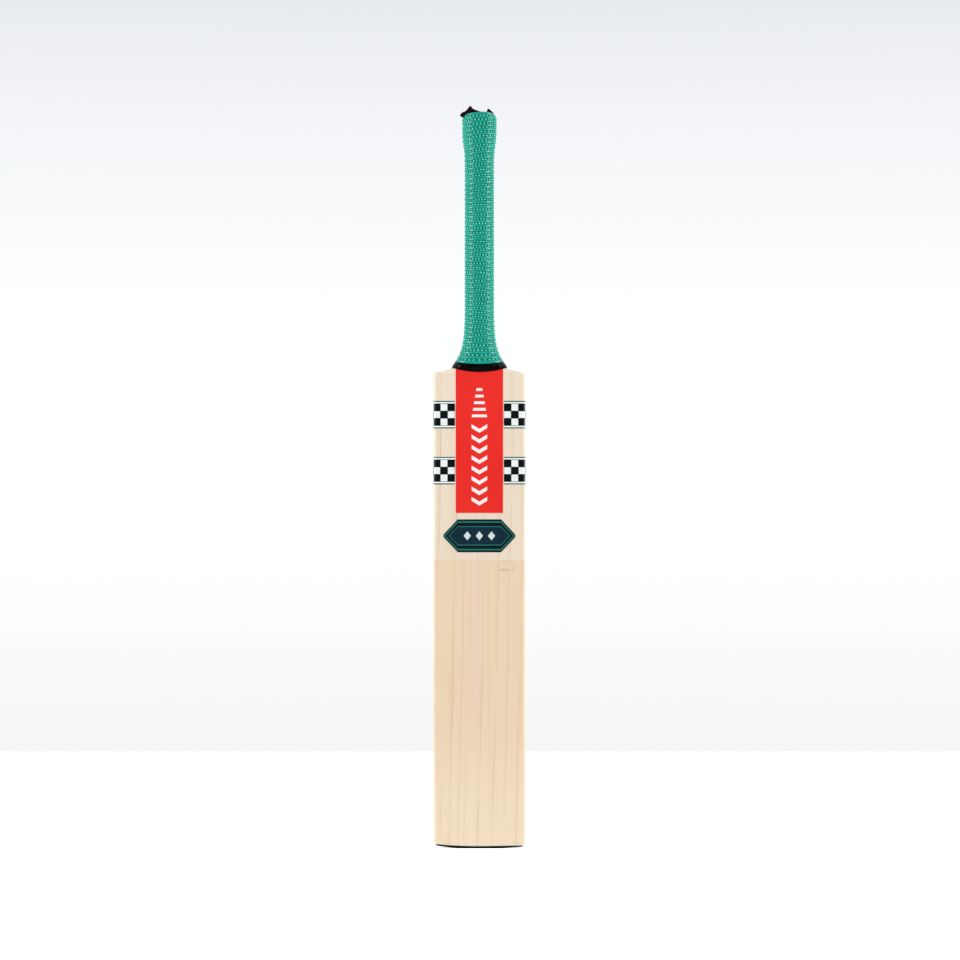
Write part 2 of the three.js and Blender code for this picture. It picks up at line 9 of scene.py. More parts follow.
import bpy
import numpy as np
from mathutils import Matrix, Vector


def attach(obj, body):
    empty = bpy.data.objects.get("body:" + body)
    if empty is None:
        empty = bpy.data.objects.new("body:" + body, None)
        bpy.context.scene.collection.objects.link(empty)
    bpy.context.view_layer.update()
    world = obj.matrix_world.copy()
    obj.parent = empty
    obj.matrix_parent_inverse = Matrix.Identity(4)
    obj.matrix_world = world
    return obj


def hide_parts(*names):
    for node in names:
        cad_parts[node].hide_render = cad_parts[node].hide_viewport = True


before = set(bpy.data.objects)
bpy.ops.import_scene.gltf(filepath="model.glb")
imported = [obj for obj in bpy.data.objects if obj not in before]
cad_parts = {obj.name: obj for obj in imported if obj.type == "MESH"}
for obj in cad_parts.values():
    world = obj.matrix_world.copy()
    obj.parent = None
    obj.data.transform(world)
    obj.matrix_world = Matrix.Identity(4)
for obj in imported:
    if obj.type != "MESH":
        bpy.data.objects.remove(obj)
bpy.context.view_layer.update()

MM = 0.001

# --- Driving dimensions, as in the CAD model ---

HALF_WIDTH = 53.4
HANDLE_TOP = 848
GRIP_TOP = 851
FACE_SETBACK = -27.5

FACE_CROWN = 1.0
SIDE_CROWN = 0.6
TOE_BOW = 3.5
BOW_CENTRE = 300
BOW_END = 550

FRONT_CORNER = 3.6
BACK_CORNER = 4.5
HANDLE_CENTRE = 21

TOE_GAP = 2.5
TOE_SAG = 1.7
TOE_LEAN = 0.6  # how much more the toe is worn away on the left than on the right
TOE_SAG_END = 45
TOE_EDGE = 1.6  # radius of the rounding between the toe and the sides
REST_HALF_WIDTH = 22
GUARD_CORNER_LIFT = 2.4
GUARD_LEAN = 0.3
GUARD_LENGTH = 104

GLUE = 0.1
TWINE = 0.8
GRIP = 2.1

SPLICE_TIP = 400
SPLICE_TOP = 552
SPLICE_TIP_HALF = 1.5
SPLICE_TOP_HALF = 20.5

NECK_LOW = 555.4
NECK_HIGH = 562.5
NECK_DIP_LOW = 5.2
NECK_DIP_HIGH = 3.0
GRIP_HOLE = 9.5

LABEL_HALF_WIDTH = 27.3
LABEL_BOTTOM = 387.4
BACK_LABEL_TOP = 540
BAND_START = 28.3
BANDS = {"lower": (420.4, 452.2), "upper": (485.1, 516.9)}
BADGE_HALF_WIDTH = 41.5
BADGE_HALF_HEIGHT = 19
BADGE_CENTRE = 361
BADGE_SHOULDER = 25
BADGE_TAPER = 0.92  # how much lower the badge is at its tips than at its shoulders
FACING_TOP = 332.8
FACING_BOTTOM = 4.8
FACING_WRAP = 0.2
BACK_LABEL_EDGE = 0.5
BACK_BAND_EDGE = 0.55

STICKER_LOW = 0.04  # a sticker's underside and outside, above the willow
STICKER_HIGH = 0.17
FACING_HIGH = STICKER_LOW + 0.09
LABEL_LAP = 1.2  # how far the face label goes up under the neck tape

# --- Profiles along the height ---


def profile(*stations):
    """A smooth curve through (height, value) stations that never overshoots them."""
    heights, values = np.array(stations, float).T
    spans = np.diff(heights)
    slopes = np.diff(values) / spans
    before = np.concatenate([slopes[:1], slopes])
    after = np.concatenate([slopes, slopes[-1:]])
    same = before * after > 0
    tangents = np.where(same, 2 * before * after / np.where(same, before + after, 1), 0)

    def at(z):
        i = np.clip(np.searchsorted(heights, z, side="right") - 1, 0, len(slopes) - 1)
        t = np.clip((z - heights[i]) / spans[i], 0, 1)
        rise = t * t * (3 - 2 * t)
        bend = spans[i] * t * (1 - t) * (tangents[i] * (1 - t) - tangents[i + 1] * t)
        return values[i] + (values[i + 1] - values[i]) * rise + bend

    return at


HALF_DEPTHS = [(620, 13.9), (790, 13.8), (824, 16.6), (HANDLE_TOP, 16.2)]  # of the handle
HANDLE_BACK = [(z, HANDLE_CENTRE + deep) for z, deep in HALF_DEPTHS]
HANDLE_FRONT = [(z, HANDLE_CENTRE - deep) for z, deep in HALF_DEPTHS]

half_width = profile(
    (0, HALF_WIDTH - 0.6), (14, HALF_WIDTH), (547.8, HALF_WIDTH), (549.4, 52.6), (550, 50.2),
    (551, 43.4), (552.6, 37.6), (554.6, 33.2), (557.5, 29.8), (561, 27.0), (565, 24.2),
    (570, 21.2), (576, 18.9), (583, 17.1), (592, 15.7), (604, 14.8), (620, 14.3), (790, 14.2),
    (806, 14.9), (815, 16.0), (824, 17.0), (842, 17.2), (HANDLE_TOP, 16.6)
)
spine = profile(
    (0, 20.5), (25, 30), (70, 44), (130, 55), (215, 62), (270, 61.5), (340, 57.5), (430, 50),
    (500, 44.5), (552, 41), (575, 37.8), (600, 35.6), *HANDLE_BACK
)
side_depth = profile(
    (0, 17.5), (40, 24), (110, 33), (200, 38.6), (280, 38.2), (370, 33.5), (460, 27.5),
    (548, 22.5), (560, 30), (580, 37), (600, 35.6), *HANDLE_BACK
)
face_setback = profile((0, 0), (552, 0), (561, 1.2), (575, 4.6), (592, 6.7), *HANDLE_FRONT)
roundness = profile((0, 0), (547, 0), (556, 0.4), (568, 0.8), (590, 1), (HANDLE_TOP, 1))


def smooth(t):
    t = np.clip(t, 0, 1)
    return t * t * (3 - 2 * t)


def mix(a, b, t):
    return a + (b - a) * t


def bow(z):
    """Forward curve of the blade, carried on as a straight lean by the handle."""
    within = np.minimum(z, BOW_END) - BOW_CENTRE
    beyond = np.maximum(0, z - BOW_END)
    return -TOE_BOW / BOW_CENTRE**2 * within * (within + 2 * beyond)


def toe_lift(x, z):
    """Lift of the willow's lower edge towards the corners of the toe."""
    share = x / HALF_WIDTH
    return TOE_SAG * share**2 * (1 - TOE_LEAN * share) * (1 - smooth((z - TOE_GAP) / TOE_SAG_END))


def place(x, y, z):
    """A point of the level section in its place in the bat."""
    x, y, z = np.broadcast_arrays(x, y, z)
    return np.stack([x, y + bow(z) + FACE_SETBACK, z + toe_lift(x, z)], axis=-1)


# --- Level sections ---


def outline(s, z):
    """Points (x, y) of the level section's outline. Position s is 0 at the middle of the face, 1 to 2
    round the front corner, 2 to 3 along the side, 3 to 4 round the back corner and 5 at the middle
    of the back. Positions past 5, or below 0, are on the other side of the bat."""
    turned = np.mod(s, 10)
    mirror = np.where(turned > 5, -1, 1)
    p = np.where(turned > 5, 10 - turned, turned)
    w, front, back, side = half_width(z), face_setback(z), spine(z), side_depth(z)
    oval = roundness(z)
    deep = (back - front) / 2
    rx_front = mix(FRONT_CORNER, 0.92 * w, oval)
    ry_front = mix(FRONT_CORNER, 0.95 * deep, oval)
    rx_back = mix(BACK_CORNER, 0.92 * w, oval)
    ry_back = mix(BACK_CORNER, 0.95 * deep, oval)

    def face_at(x):
        return front + FACE_CROWN * (1 - oval) * (x / w) ** 2

    def back_at(x):
        return side + (back - side) * 0.5 * (1 + np.cos(math.pi * (np.abs(x) / w) ** 0.85))

    front_end = face_at(w - rx_front) + ry_front
    back_end = back_at(w - rx_back) - ry_back
    crown = SIDE_CROWN * (1 - oval)
    turn = math.pi / 2
    x_face = p * (w - rx_front)
    x_back = (5 - p) * (w - rx_back)
    parts = [p <= 1, p <= 2, p <= 3, p <= 4]
    x = np.select(
        parts,
        [
            x_face,
            w - rx_front * (1 - np.sin(turn * (p - 1))) - crown * (p - 1),
            w - crown * (2 * (p - 2) - 1) ** 2,
            w - rx_back * (1 - np.cos(turn * (p - 3))) - crown * (4 - p),
        ],
        x_back,
    )
    y = np.select(
        parts,
        [
            face_at(x_face),
            front_end - ry_front * np.cos(turn * (p - 1)),
            mix(front_end, back_end, p - 2),
            back_end + ry_back * np.sin(turn * (p - 3)),
        ],
        back_at(x_back),
    )
    return mirror * x, y


def surface(s, z, grow=0.0):
    """Points of the bat's surface at positions s and heights z, moved outwards by grow."""
    s, z, grow = np.broadcast_arrays(np.asarray(s, float), np.asarray(z, float), grow)
    step = 0.01
    ahead, behind = outline(s + step, z), outline(s - step, z)
    along = np.stack([ahead[0] - behind[0], ahead[1] - behind[1]], axis=-1)
    along /= np.linalg.norm(along, axis=-1, keepdims=True)
    x, y = outline(s, z)
    return place(x + grow * along[..., 1], y - grow * along[..., 0], z)


def step_lengths(points):
    """Distances between the points of a line."""
    return np.linalg.norm(np.diff(points, axis=0), axis=1)


def run_along(points):
    """Distance along a line from its first point to each of its points."""
    return np.concatenate([[0], np.cumsum(step_lengths(points))])


def stretches(*parts):
    """Values evenly spaced along stretches that join up. Each part is (start, end, steps)."""
    runs = [np.linspace(start, end, steps + 1)[:-1] for start, end, steps in parts]
    return np.concatenate(runs + [[parts[-1][1]]])


def arc(s):
    """Distance along the outline from the middle of the face to positions s, negative to the left."""
    dense = np.linspace(-8, 8, 6401)
    run = run_along(surface(dense, BOW_CENTRE))
    run -= run[len(dense) // 2]
    return np.interp(s, dense, run)


def position_at(distance):
    """The position that lies this far along the outline from the middle of the face."""
    dense = np.linspace(-5, 5, 4001)
    return np.interp(distance, arc(dense), dense)


# --- Meshes ---


def make_object(name, points, faces, coords=None, sharp_deg=40):
    """A mesh object from points in millimetres. coords gives each point's place (distance round the
    blade, height) in metres, kept as the UV map "wrap"."""
    mesh = bpy.data.meshes.new(name)
    mesh.from_pydata((np.asarray(points, float) * MM).tolist(), [], [list(f) for f in faces])
    mesh.update()
    if coords is not None:
        layer = mesh.uv_layers.new(name="wrap")
        corners = np.zeros(len(mesh.loops), np.int32)
        mesh.loops.foreach_get("vertex_index", corners)
        layer.data.foreach_set("uv", np.asarray(coords, np.float32)[corners].ravel())
    piece = bpy.data.objects.new(name, mesh)
    bpy.context.scene.collection.objects.link(piece)
    shade(piece, sharp_deg)
    return piece


def shade(piece, sharp_deg):
    """Smooth shading, apart from edges sharper than the angle."""
    mesh = piece.data
    mesh.shade_smooth()
    mesh.set_sharp_from_angle(angle=math.radians(sharp_deg))


def grid_faces(rows, columns, first=0, around=False, flip=False):
    """Faces of a grid of points stored row by row."""
    index = np.arange(rows * columns).reshape(rows, columns) + first
    after = np.roll(index, -1, axis=1)
    quads = np.stack([index[:-1], after[:-1], after[1:], index[1:]], axis=-1)
    if not around:
        quads = quads[:, :-1]
    quads = quads.reshape(-1, 4)
    return (quads[:, ::-1] if flip else quads).tolist()


def slab(name, outer, inner, coords=None, sharp_deg=40):
    """A closed solid between two grids of points of the same size, (rows, columns, 3)."""
    rows, columns = outer.shape[:2]
    count = rows * columns
    faces = grid_faces(rows, columns) + grid_faces(rows, columns, first=count, flip=True)

    def wall(line):
        for a, b in zip(line, line[1:]):
            faces.append([int(b), int(a), int(a) + count, int(b) + count])

    index = np.arange(count).reshape(rows, columns)
    wall(index[0])
    wall(index[-1][::-1])
    wall(index[::-1, 0])
    wall(index[:, -1])
    points = np.concatenate([outer.reshape(-1, 3), inner.reshape(-1, 3)])
    both = None if coords is None else np.tile(coords.reshape(-1, 2), (2, 1))
    return make_object(name, points, faces, both, sharp_deg)


def loft(name, rings, hoop=False, sharp_deg=40):
    """A closed solid through rings of points, (rows, columns, 3). Its ends are closed flat, or joined
    to each other on a hoop."""
    rows, columns = rings.shape[:2]
    count = rows * columns
    faces = grid_faces(rows + hoop, columns, around=True)
    if hoop:
        faces = (np.array(faces) % count).tolist()
    else:
        faces += [list(range(columns))[::-1], list(range(count - columns, count))]
    return make_object(name, rings.reshape(-1, 3), faces, sharp_deg=sharp_deg)


# --- Node helpers ---


class Nodes:
    """A node tree being built."""

    def __init__(self, tree):
        self.tree = tree

    def put(self, socket, value):
        if isinstance(value, bpy.types.NodeSocket):
            self.tree.links.new(value, socket)
        elif socket.type == "RGBA" and len(value) == 3:
            socket.default_value = (*value, 1)
        else:
            socket.default_value = value

    def node(self, kind, settings=None, **inputs):
        made = self.tree.nodes.new(kind)
        for key, value in (settings or {}).items():
            setattr(made, key, value)
        for key, value in inputs.items():
            self.put(made.inputs[key.replace("_", " ")], value)
        return made

    def calc(self, operation, *values, clamp=False):
        made = self.node("ShaderNodeMath", {"operation": operation, "use_clamp": clamp})
        for socket, value in zip(made.inputs, values):
            self.put(socket, value)
        return made.outputs[0]

    def plus(self, a, b, clamp=False):
        return self.calc("ADD", a, b, clamp=clamp)

    def minus(self, a, b):
        return self.calc("SUBTRACT", a, b)

    def times(self, a, b):
        return self.calc("MULTIPLY", a, b)

    def over(self, a, b):
        return self.calc("DIVIDE", a, b)

    def axes(self, vector):
        return self.node("ShaderNodeSeparateXYZ", Vector=vector).outputs


class Look(Nodes):
    """A node material being built round one Principled shader, whose own values are given by name."""

    def __init__(self, name, **values):
        self.material = bpy.data.materials.new(name)
        self.material.use_nodes = True
        super().__init__(self.material.node_tree)
        self.shader = self.tree.nodes["Principled BSDF"]
        for socket, value in values.items():
            self.put(self.shader.inputs[socket.replace("_", " ")], value)

    def place(self, scale=(1, 1, 1)):
        """Object coordinates in metres, stretched by scale."""
        where = self.node("ShaderNodeTexCoord").outputs["Object"]
        return self.node("ShaderNodeMapping", Vector=where, Scale=scale).outputs[0]

    def wrap(self):
        """Distance round the blade and height, in millimetres."""
        uv = self.node("ShaderNodeUVMap", {"uv_map": "wrap"}).outputs[0]
        u, v, _ = self.axes(uv)
        return self.times(u, 1 / MM), self.times(v, 1 / MM)

    def noise(self, scale, detail=3, roughness=0.5):
        """Noise with about scale features a metre along each axis."""
        where = self.place(scale)
        made = self.node("ShaderNodeTexNoise", Vector=where, Scale=1.0, Detail=detail, Roughness=roughness)
        return made.outputs["Fac"]

    def blend(self, factor, a, b):
        made = self.node("ShaderNodeMix", {"data_type": "RGBA"})
        self.put(made.inputs["Factor"], factor)
        self.put(made.inputs[6], a)
        self.put(made.inputs[7], b)
        return made.outputs[2]

    def ramp(self, factor, low=0.3, high=0.7, to_low=0.0, to_high=1.0):
        """A smooth step that takes low to to_low and high to to_high."""
        made = self.node("ShaderNodeMapRange", {"interpolation_type": "SMOOTHSTEP"}, Value=factor)
        for index, value in enumerate((low, high, to_low, to_high), start=1):
            made.inputs[index].default_value = value
        return made.outputs[0]

    def between(self, value, low, high):
        """1 where value lies between low and high, else 0."""
        above = self.calc("GREATER_THAN", value, low)
        return self.times(above, self.calc("LESS_THAN", value, high))

    def near(self, value, centre, reach):
        return self.calc("COMPARE", value, centre, reach)

    def either(self, *masks):
        joined = masks[0]
        for mask in masks[1:]:
            joined = self.calc("MAXIMUM", joined, mask)
        return joined

    def colour(self, value):
        self.base = value
        self.put(self.shader.inputs["Base Color"], value)

    def tones(self, factor, low, high):
        """Gives the base colour as a blend of two display colours."""
        self.colour(self.blend(factor, srgb(*low), srgb(*high)))

    def tint(self, factor, *display):
        """Blends a display colour over the base colour so far."""
        self.colour(self.blend(factor, self.base, srgb(*display)))

    def rough(self, factor, *ramp):
        """Roughness, given as a factor and the ramp that it goes through, if any."""
        self.put(self.shader.inputs["Roughness"], self.ramp(factor, *ramp) if ramp else factor)

    def bump(self, height, distance_mm, strength=1.0):
        """Adds a bump whose height runs from 0 to 1 over distance_mm."""
        below = self.shader.inputs["Normal"].links
        made = self.node("ShaderNodeBump", Height=height, Strength=strength, Distance=distance_mm * MM)
        if below:
            self.put(made.inputs["Normal"], below[0].from_socket)
        self.put(self.shader.inputs["Normal"], made.outputs[0])


def srgb(r, g, b):
    """A colour given as 0 to 255 display values."""

    def linear(v):
        v /= 255
        return v / 12.92 if v <= 0.04045 else ((v + 0.055) / 1.055) ** 2.4

    return (linear(r), linear(g), linear(b))


# --- Materials ---

GRAIN_LEAN = 0.0204  # the grain's sideways run for each millimetre of height
GRAIN_HEIGHT = 275  # height at which the growth rings cross the face at GRAIN_LINES
GRAIN_LINES = (-48, -29, -18.4, -11.8, 4.7, 21.5, 35, 49)
GRAIN_REACH = 60
GRAIN_TILT = 0.14  # sideways run of the rings for each millimetre of depth
PALE_LOW = 20  # the willow is palest up to this height
PALE_HIGH = 160  # and its usual colour from this one up


def growth_rings(look, x, y, z):
    """Counts the growth rings across the blade, so that each ring line is at a whole number."""
    sway = look.noise((9, 9, 3.2))
    sway = look.times(look.minus(sway, 0.5), 0.009)
    lean = look.times(look.minus(z, GRAIN_HEIGHT * MM), GRAIN_LEAN)
    across = look.minus(look.plus(x, sway), lean)
    across = look.plus(across, look.times(y, GRAIN_TILT))
    across = look.plus(across, -FACE_SETBACK * MM * GRAIN_TILT)
    share = look.plus(look.over(across, 2 * GRAIN_REACH * MM), 0.5, clamp=True)
    count = look.node("ShaderNodeFloatCurve", Value=share)
    curve = count.mapping.curves[0]
    last = len(GRAIN_LINES) + 1
    curve.points[0].location = (0, 0)
    curve.points[1].location = (1, 1)
    for number, line in enumerate(GRAIN_LINES, start=1):
        curve.points.new(line / (2 * GRAIN_REACH) + 0.5, number / last)
    for point in curve.points:
        point.handle_type = "VECTOR"
    count.mapping.update()
    return look.times(count.outputs[0], last)


def willow():
    look = Look("willow", Specular_IOR_Level=0.25)
    x, y, z = look.axes(look.place())
    rings = growth_rings(look, x, y, z)
    phase = look.calc("FRACT", rings)
    ring_number = look.node("ShaderNodeCombineXYZ", X=look.calc("FLOOR", rings)).outputs[0]
    chance = look.node("ShaderNodeTexWhiteNoise", Vector=ring_number)
    warmth = chance.outputs["Value"]
    _, _, weight = look.axes(chance.outputs["Color"])
    strength = look.ramp(look.noise((60, 60, 9)), 0.35, 0.62, 0.1, 1.0)
    strength = look.times(strength, look.ramp(weight, 0.0, 1.0, 0.45, 1.0))
    line = look.times(look.ramp(phase, 0.93, 0.985), strength)
    late = look.times(look.ramp(phase, 0.55, 0.97), strength)
    early = look.ramp(phase, 0.02, 0.1, 1.0, 0.0)
    thread = look.noise((520, 520, 1.6), detail=2)
    drift = look.noise((28, 28, 5), detail=2)
    fibre = look.noise((900, 900, 18), detail=4, roughness=0.65)
    streak = look.noise((190, 190, 2.5))
    pore = look.noise((420, 420, 50), detail=1)
    cloud = look.noise((11, 11, 3.5), detail=2)
    look.tones(look.ramp(cloud), (240, 221, 203), (245, 227, 212))
    look.tint(look.times(warmth, 0.7), 240, 225, 195)
    look.tint(look.ramp(drift, 0.45, 0.8, 0.0, 0.4), 245, 218, 200)
    look.tint(look.ramp(z, PALE_LOW * MM, PALE_HIGH * MM, 0.7, 0.0), 246, 236, 216)
    look.tint(look.times(late, 0.2), 216, 186, 154)
    look.tint(look.times(early, 0.22), 250, 238, 222)
    look.tint(look.times(line, 0.52), 190, 160, 130)
    look.tint(look.ramp(thread, 0.62, 0.72, 0.0, 0.22), 206, 178, 146)
    look.tint(look.ramp(streak, 0.5, 0.8, 0.0, 0.22), 222, 198, 168)
    look.tint(look.ramp(fibre, 0.55, 0.8, 0.0, 0.18), 206, 178, 144)
    look.tint(look.ramp(pore, 0.74, 0.8, 0.0, 0.22), 178, 138, 98)
    look.tint(stain(look, x, z), 176, 150, 96)
    look.rough(fibre, 0.2, 0.8, 0.44, 0.6)
    look.bump(fibre, 0.05, 0.6)
    look.bump(line, 0.01, 0.3)
    return look


# Faint marks of a small knot below the badge: centre across and up, half width, half height, strength.
KNOT_MARKS = [
    (29.0, 321.4, 7.5, 1.9, 0.4), (38.5, 321.9, 3.8, 1.2, 0.3), (29.0, 330.4, 3.8, 1.2, 0.34),
    (40.0, 326.0, 2.8, 1.2, 0.26), (27.5, 308.6, 3.0, 1.2, 0.28),
]


def stain(look, x, z):
    marks = []
    for across, height, wide, tall, strength in KNOT_MARKS:
        dx = look.over(look.minus(x, across * MM), wide * MM)
        dz = look.over(look.minus(z, height * MM), tall * MM)
        far = look.plus(look.calc("POWER", dx, 2), look.calc("POWER", dz, 2))
        marks.append(look.ramp(far, 0.0, 1.6, strength, 0.0))
    patchy = look.noise((220, 220, 700))
    return look.times(look.either(*marks), look.ramp(patchy, 0.3, 0.55, 0.25, 1.0))


def cane():
    look = Look("cane", Specular_IOR_Level=0.3)
    bundles = look.node("ShaderNodeTexVoronoi", Vector=look.place((1, 1, 0.02)), Scale=1400)
    pore = look.ramp(bundles.outputs["Distance"], 0.12, 0.42, 1.0, 0.0)
    fibre = look.noise((1500, 1500, 12))
    shade_of = look.noise((70, 70, 4), detail=2)
    look.tones(look.ramp(shade_of), (206, 170, 112), (222, 190, 138))
    look.tint(look.ramp(fibre, 0.4, 0.75, 0.0, 0.45), 170, 128, 76)
    look.tint(look.times(pore, 0.7), 112, 74, 38)
    look.rough(fibre, 0.2, 0.8, 0.5, 0.72)
    look.bump(pore, 0.08, 0.5)
    return look


def strip_rubber():
    look = Look("strip_rubber", Specular_IOR_Level=0.3)
    speck = look.noise((900, 900, 900), detail=4)
    look.tones(look.ramp(speck, 0.3, 0.75), (38, 33, 30), (66, 58, 52))
    look.rough(speck, 0.3, 0.7, 0.72, 0.92)
    look.bump(speck, 0.05, 0.5)
    return look


def twine():
    look = Look("twine", Specular_IOR_Level=0.25)
    hair = look.noise((1200, 1200, 5200))
    patch = look.noise((60, 60, 60), detail=2)
    look.tones(look.ramp(patch), (222, 211, 184), (206, 192, 160))
    look.tint(look.ramp(hair, 0.45, 0.75, 0.0, 0.5), 160, 142, 108)
    look.rough(hair, 0.3, 0.7, 0.75, 0.95)
    look.bump(hair, 0.08, 0.6)
    return look


def grip_rubber():
    look = Look("grip_rubber", Specular_IOR_Level=0.52)
    relief = look.node("ShaderNodeAttribute", {"attribute_name": "relief"}).outputs["Fac"]
    pip = look.node("ShaderNodeAttribute", {"attribute_name": "pip"}).outputs["Fac"]
    patch = look.noise((40, 40, 25))
    grit = look.noise((2600, 2600, 2600), detail=2)
    worn = look.noise((300, 300, 300))
    look.tones(look.ramp(patch), (0, 154, 133), (0, 162, 142))
    # Painted shade: where the relief is low, in the grooves, between the pips and on the inside wall, the
    # rubber is painted darker.
    look.tint(look.ramp(relief, 0.0, 0.45, 1.0, 0.0), 0, 117, 97)
    crest = look.times(look.ramp(relief, 0.8, 1.0), look.ramp(worn, 0.35, 0.75, 0.0, 0.5))
    look.tint(crest, 6, 168, 147)
    # Painted highlight: the pips' tops are painted pale mint, lighter than the rubber itself, for the
    # shine they catch.
    look.tint(look.ramp(pip, 0.3, 0.9), 84, 238, 211)
    gloss = look.ramp(worn, 0.3, 0.7, 0.2, 0.3)
    look.rough(look.plus(gloss, look.ramp(relief, 0.0, 0.4, 0.4, 0.0)))
    look.bump(grit, 0.015, 0.35)
    return look


def neck_tape_look():
    look = Look("neck_tape", Specular_IOR_Level=0.22)
    pull = look.noise((60, 60, 700))
    dust = look.noise((500, 500, 500))
    look.tones(look.ramp(dust, 0.6, 0.8, 0.0, 0.5), (1, 1, 2), (8, 8, 9))
    look.rough(dust, 0.3, 0.8, 0.16, 0.34)
    look.bump(pull, 0.18, 0.6)
    return look


def toe_rubber():
    look = Look("toe_rubber", Specular_IOR_Level=0.1)
    grain = look.noise((1400, 1400, 1400))
    scuff = look.noise((50, 160, 160), detail=4)
    look.tones(look.ramp(scuff, 0.55, 0.8, 0.0, 0.6), (5, 5, 5), (18, 17, 17))
    look.rough(scuff, 0.4, 0.8, 0.62, 0.82)
    look.bump(grain, 0.04, 0.5)
    return look


def printed(name):
    """A print on satin film, through which the wood's fibres show a little in the gloss."""
    look = Look(name, Specular_IOR_Level=0.25)
    fibre = look.noise((500, 500, 8))
    fine = look.noise((1800, 1800, 1800), detail=2)
    look.rough(fine, 0.2, 0.8, 0.28, 0.41)
    look.bump(fibre, 0.03, 0.35)
    return look


CHEVRON_PITCH = 12.0
CHEVRON_THICK = 4.6
CHEVRON_REACH = 9.0
CHEVRON_SLOPE = 0.6
BARS = 5
BAR_PITCH = 7.6
BAR_THICK = 3.2
BAR_TAPER = 0.17


def red_print(name, lowest, chevrons, middle=0.0):
    """Red film with a column of plain white chevrons from height lowest up, and bars over it."""
    look = printed(name)
    u, v = look.wrap()
    side = look.calc("ABSOLUTE", look.minus(u, middle))
    raised = look.minus(look.minus(v, look.times(side, CHEVRON_SLOPE)), lowest)
    top = chevrons * CHEVRON_PITCH
    stripes = look.calc("LESS_THAN", look.calc("FLOORED_MODULO", raised, CHEVRON_PITCH), CHEVRON_THICK)
    stripes = look.times(stripes, look.between(raised, 0.0, top))
    stripes = look.times(stripes, look.calc("LESS_THAN", side, CHEVRON_REACH))
    above = look.minus(v, lowest + top + CHEVRON_PITCH / 2)
    bars = look.calc("LESS_THAN", look.calc("FLOORED_MODULO", above, BAR_PITCH), BAR_THICK)
    narrowing = look.minus(CHEVRON_REACH, look.times(above, BAR_TAPER))
    bars = look.times(bars, look.between(above, 0.0, BARS * BAR_PITCH))
    bars = look.times(bars, look.calc("LESS_THAN", side, narrowing))
    cloud = look.noise((25, 25, 8), detail=2)
    look.tones(look.ramp(cloud), (242, 51, 43), (237, 44, 38))
    look.tint(look.either(stripes, bars), 246, 242, 240)
    return look


CHECK = 8.4  # side of a check
CHECK_SPREAD = 0.3  # the ink of a black check runs this far over its edge
CHECK_INSET = 0.1  # and is fully black from this far inside it
BAND_LINE = 15.25  # from the middle of a band to the thin lines along its edges
BAND_LINE_HALF = 0.65  # half the width of such a line


def checked_print():
    """Three rows of black and white checks between thin green lines."""
    look = printed("checked_print")
    u, v = look.wrap()
    out = look.minus(look.calc("ABSOLUTE", u), BAND_START + CHECK / 2)
    lower, upper = (sum(heights) / 2 for heights in BANDS.values())
    on_upper = look.calc("GREATER_THAN", v, (lower + upper) / 2)
    centre = look.plus(lower, look.times(on_upper, upper - lower))
    level = look.minus(v, centre)
    up = look.calc("PINGPONG", level, CHECK)

    def checks(spread):
        reach = CHECK / 2 + spread
        outer = look.calc("LESS_THAN", look.calc("PINGPONG", out, CHECK), reach)
        outer = look.times(outer, look.calc("GREATER_THAN", up, CHECK - reach))
        middle = look.calc("LESS_THAN", look.calc("PINGPONG", look.plus(out, CHECK), CHECK), reach)
        middle = look.times(middle, look.calc("LESS_THAN", up, reach))
        inside = look.near(level, 0.0, CHECK + reach)
        return look.times(look.either(outer, middle), inside)

    line = look.near(look.calc("ABSOLUTE", level), BAND_LINE, BAND_LINE_HALF)
    look.tones(line, (240, 246, 244), (20, 96, 86))
    look.tint(checks(CHECK_SPREAD), 14, 62, 76)
    look.tint(checks(-CHECK_INSET), 7, 9, 12)
    return look


BADGE_RIMS = {0.84: 0.035, 0.56: 0.02}  # the outlines' places and half widths, as shares of the badge
LOZENGE_PITCH = 14
LOZENGE_REACH = 4.2  # from a lozenge's middle to its sides
LOZENGE_SQUAT = 0.8  # its width, as a share of its height


def badge_print():
    """A dark six-sided badge with thin green outlines and three pale lozenges."""
    look = printed("badge_print")
    u, v = look.wrap()
    side = look.calc("ABSOLUTE", u)
    level = look.calc("ABSOLUTE", look.minus(v, BADGE_CENTRE))
    past = look.calc("MAXIMUM", look.minus(side, BADGE_SHOULDER), 0.0)
    slope = look.over(past, BADGE_HALF_WIDTH - BADGE_SHOULDER)
    share = look.plus(look.over(level, BADGE_HALF_HEIGHT), look.times(slope, BADGE_TAPER))
    rims = [look.near(share, at, half) for at, half in BADGE_RIMS.items()]
    inner = look.calc("LESS_THAN", share, min(BADGE_RIMS))
    look.tones(inner, (9, 22, 28), (16, 44, 58))
    look.tint(look.either(*rims), 34, 138, 128)
    phase = look.calc("MODULO", look.plus(u, 7.5 * LOZENGE_PITCH), LOZENGE_PITCH)
    across = look.calc("ABSOLUTE", look.minus(phase, LOZENGE_PITCH / 2))
    reach = look.plus(across, look.times(level, LOZENGE_SQUAT))
    lozenge = look.calc("LESS_THAN", reach, LOZENGE_REACH)
    lozenge = look.times(lozenge, look.calc("LESS_THAN", side, 1.5 * LOZENGE_PITCH))
    look.tint(lozenge, 214, 226, 226)
    return look


def clear_film():
    look = Look("clear_film", Base_Color=(0.97, 0.56, 0.02), Alpha=0.046)
    weave = look.noise((700, 700, 700), detail=2)
    look.rough(weave, 0.2, 0.8, 0.24, 0.38)
    look.bump(weave, 0.02, 0.5)
    return look


# Painted light and shadow: above the grip's top, the cloth's lit side is painted in its own maroon red
# from the first height to the second, and below that it is painted near black as shadow.
CLOTH_LIT_LOW = 1
CLOTH_LIT_HIGH = 6


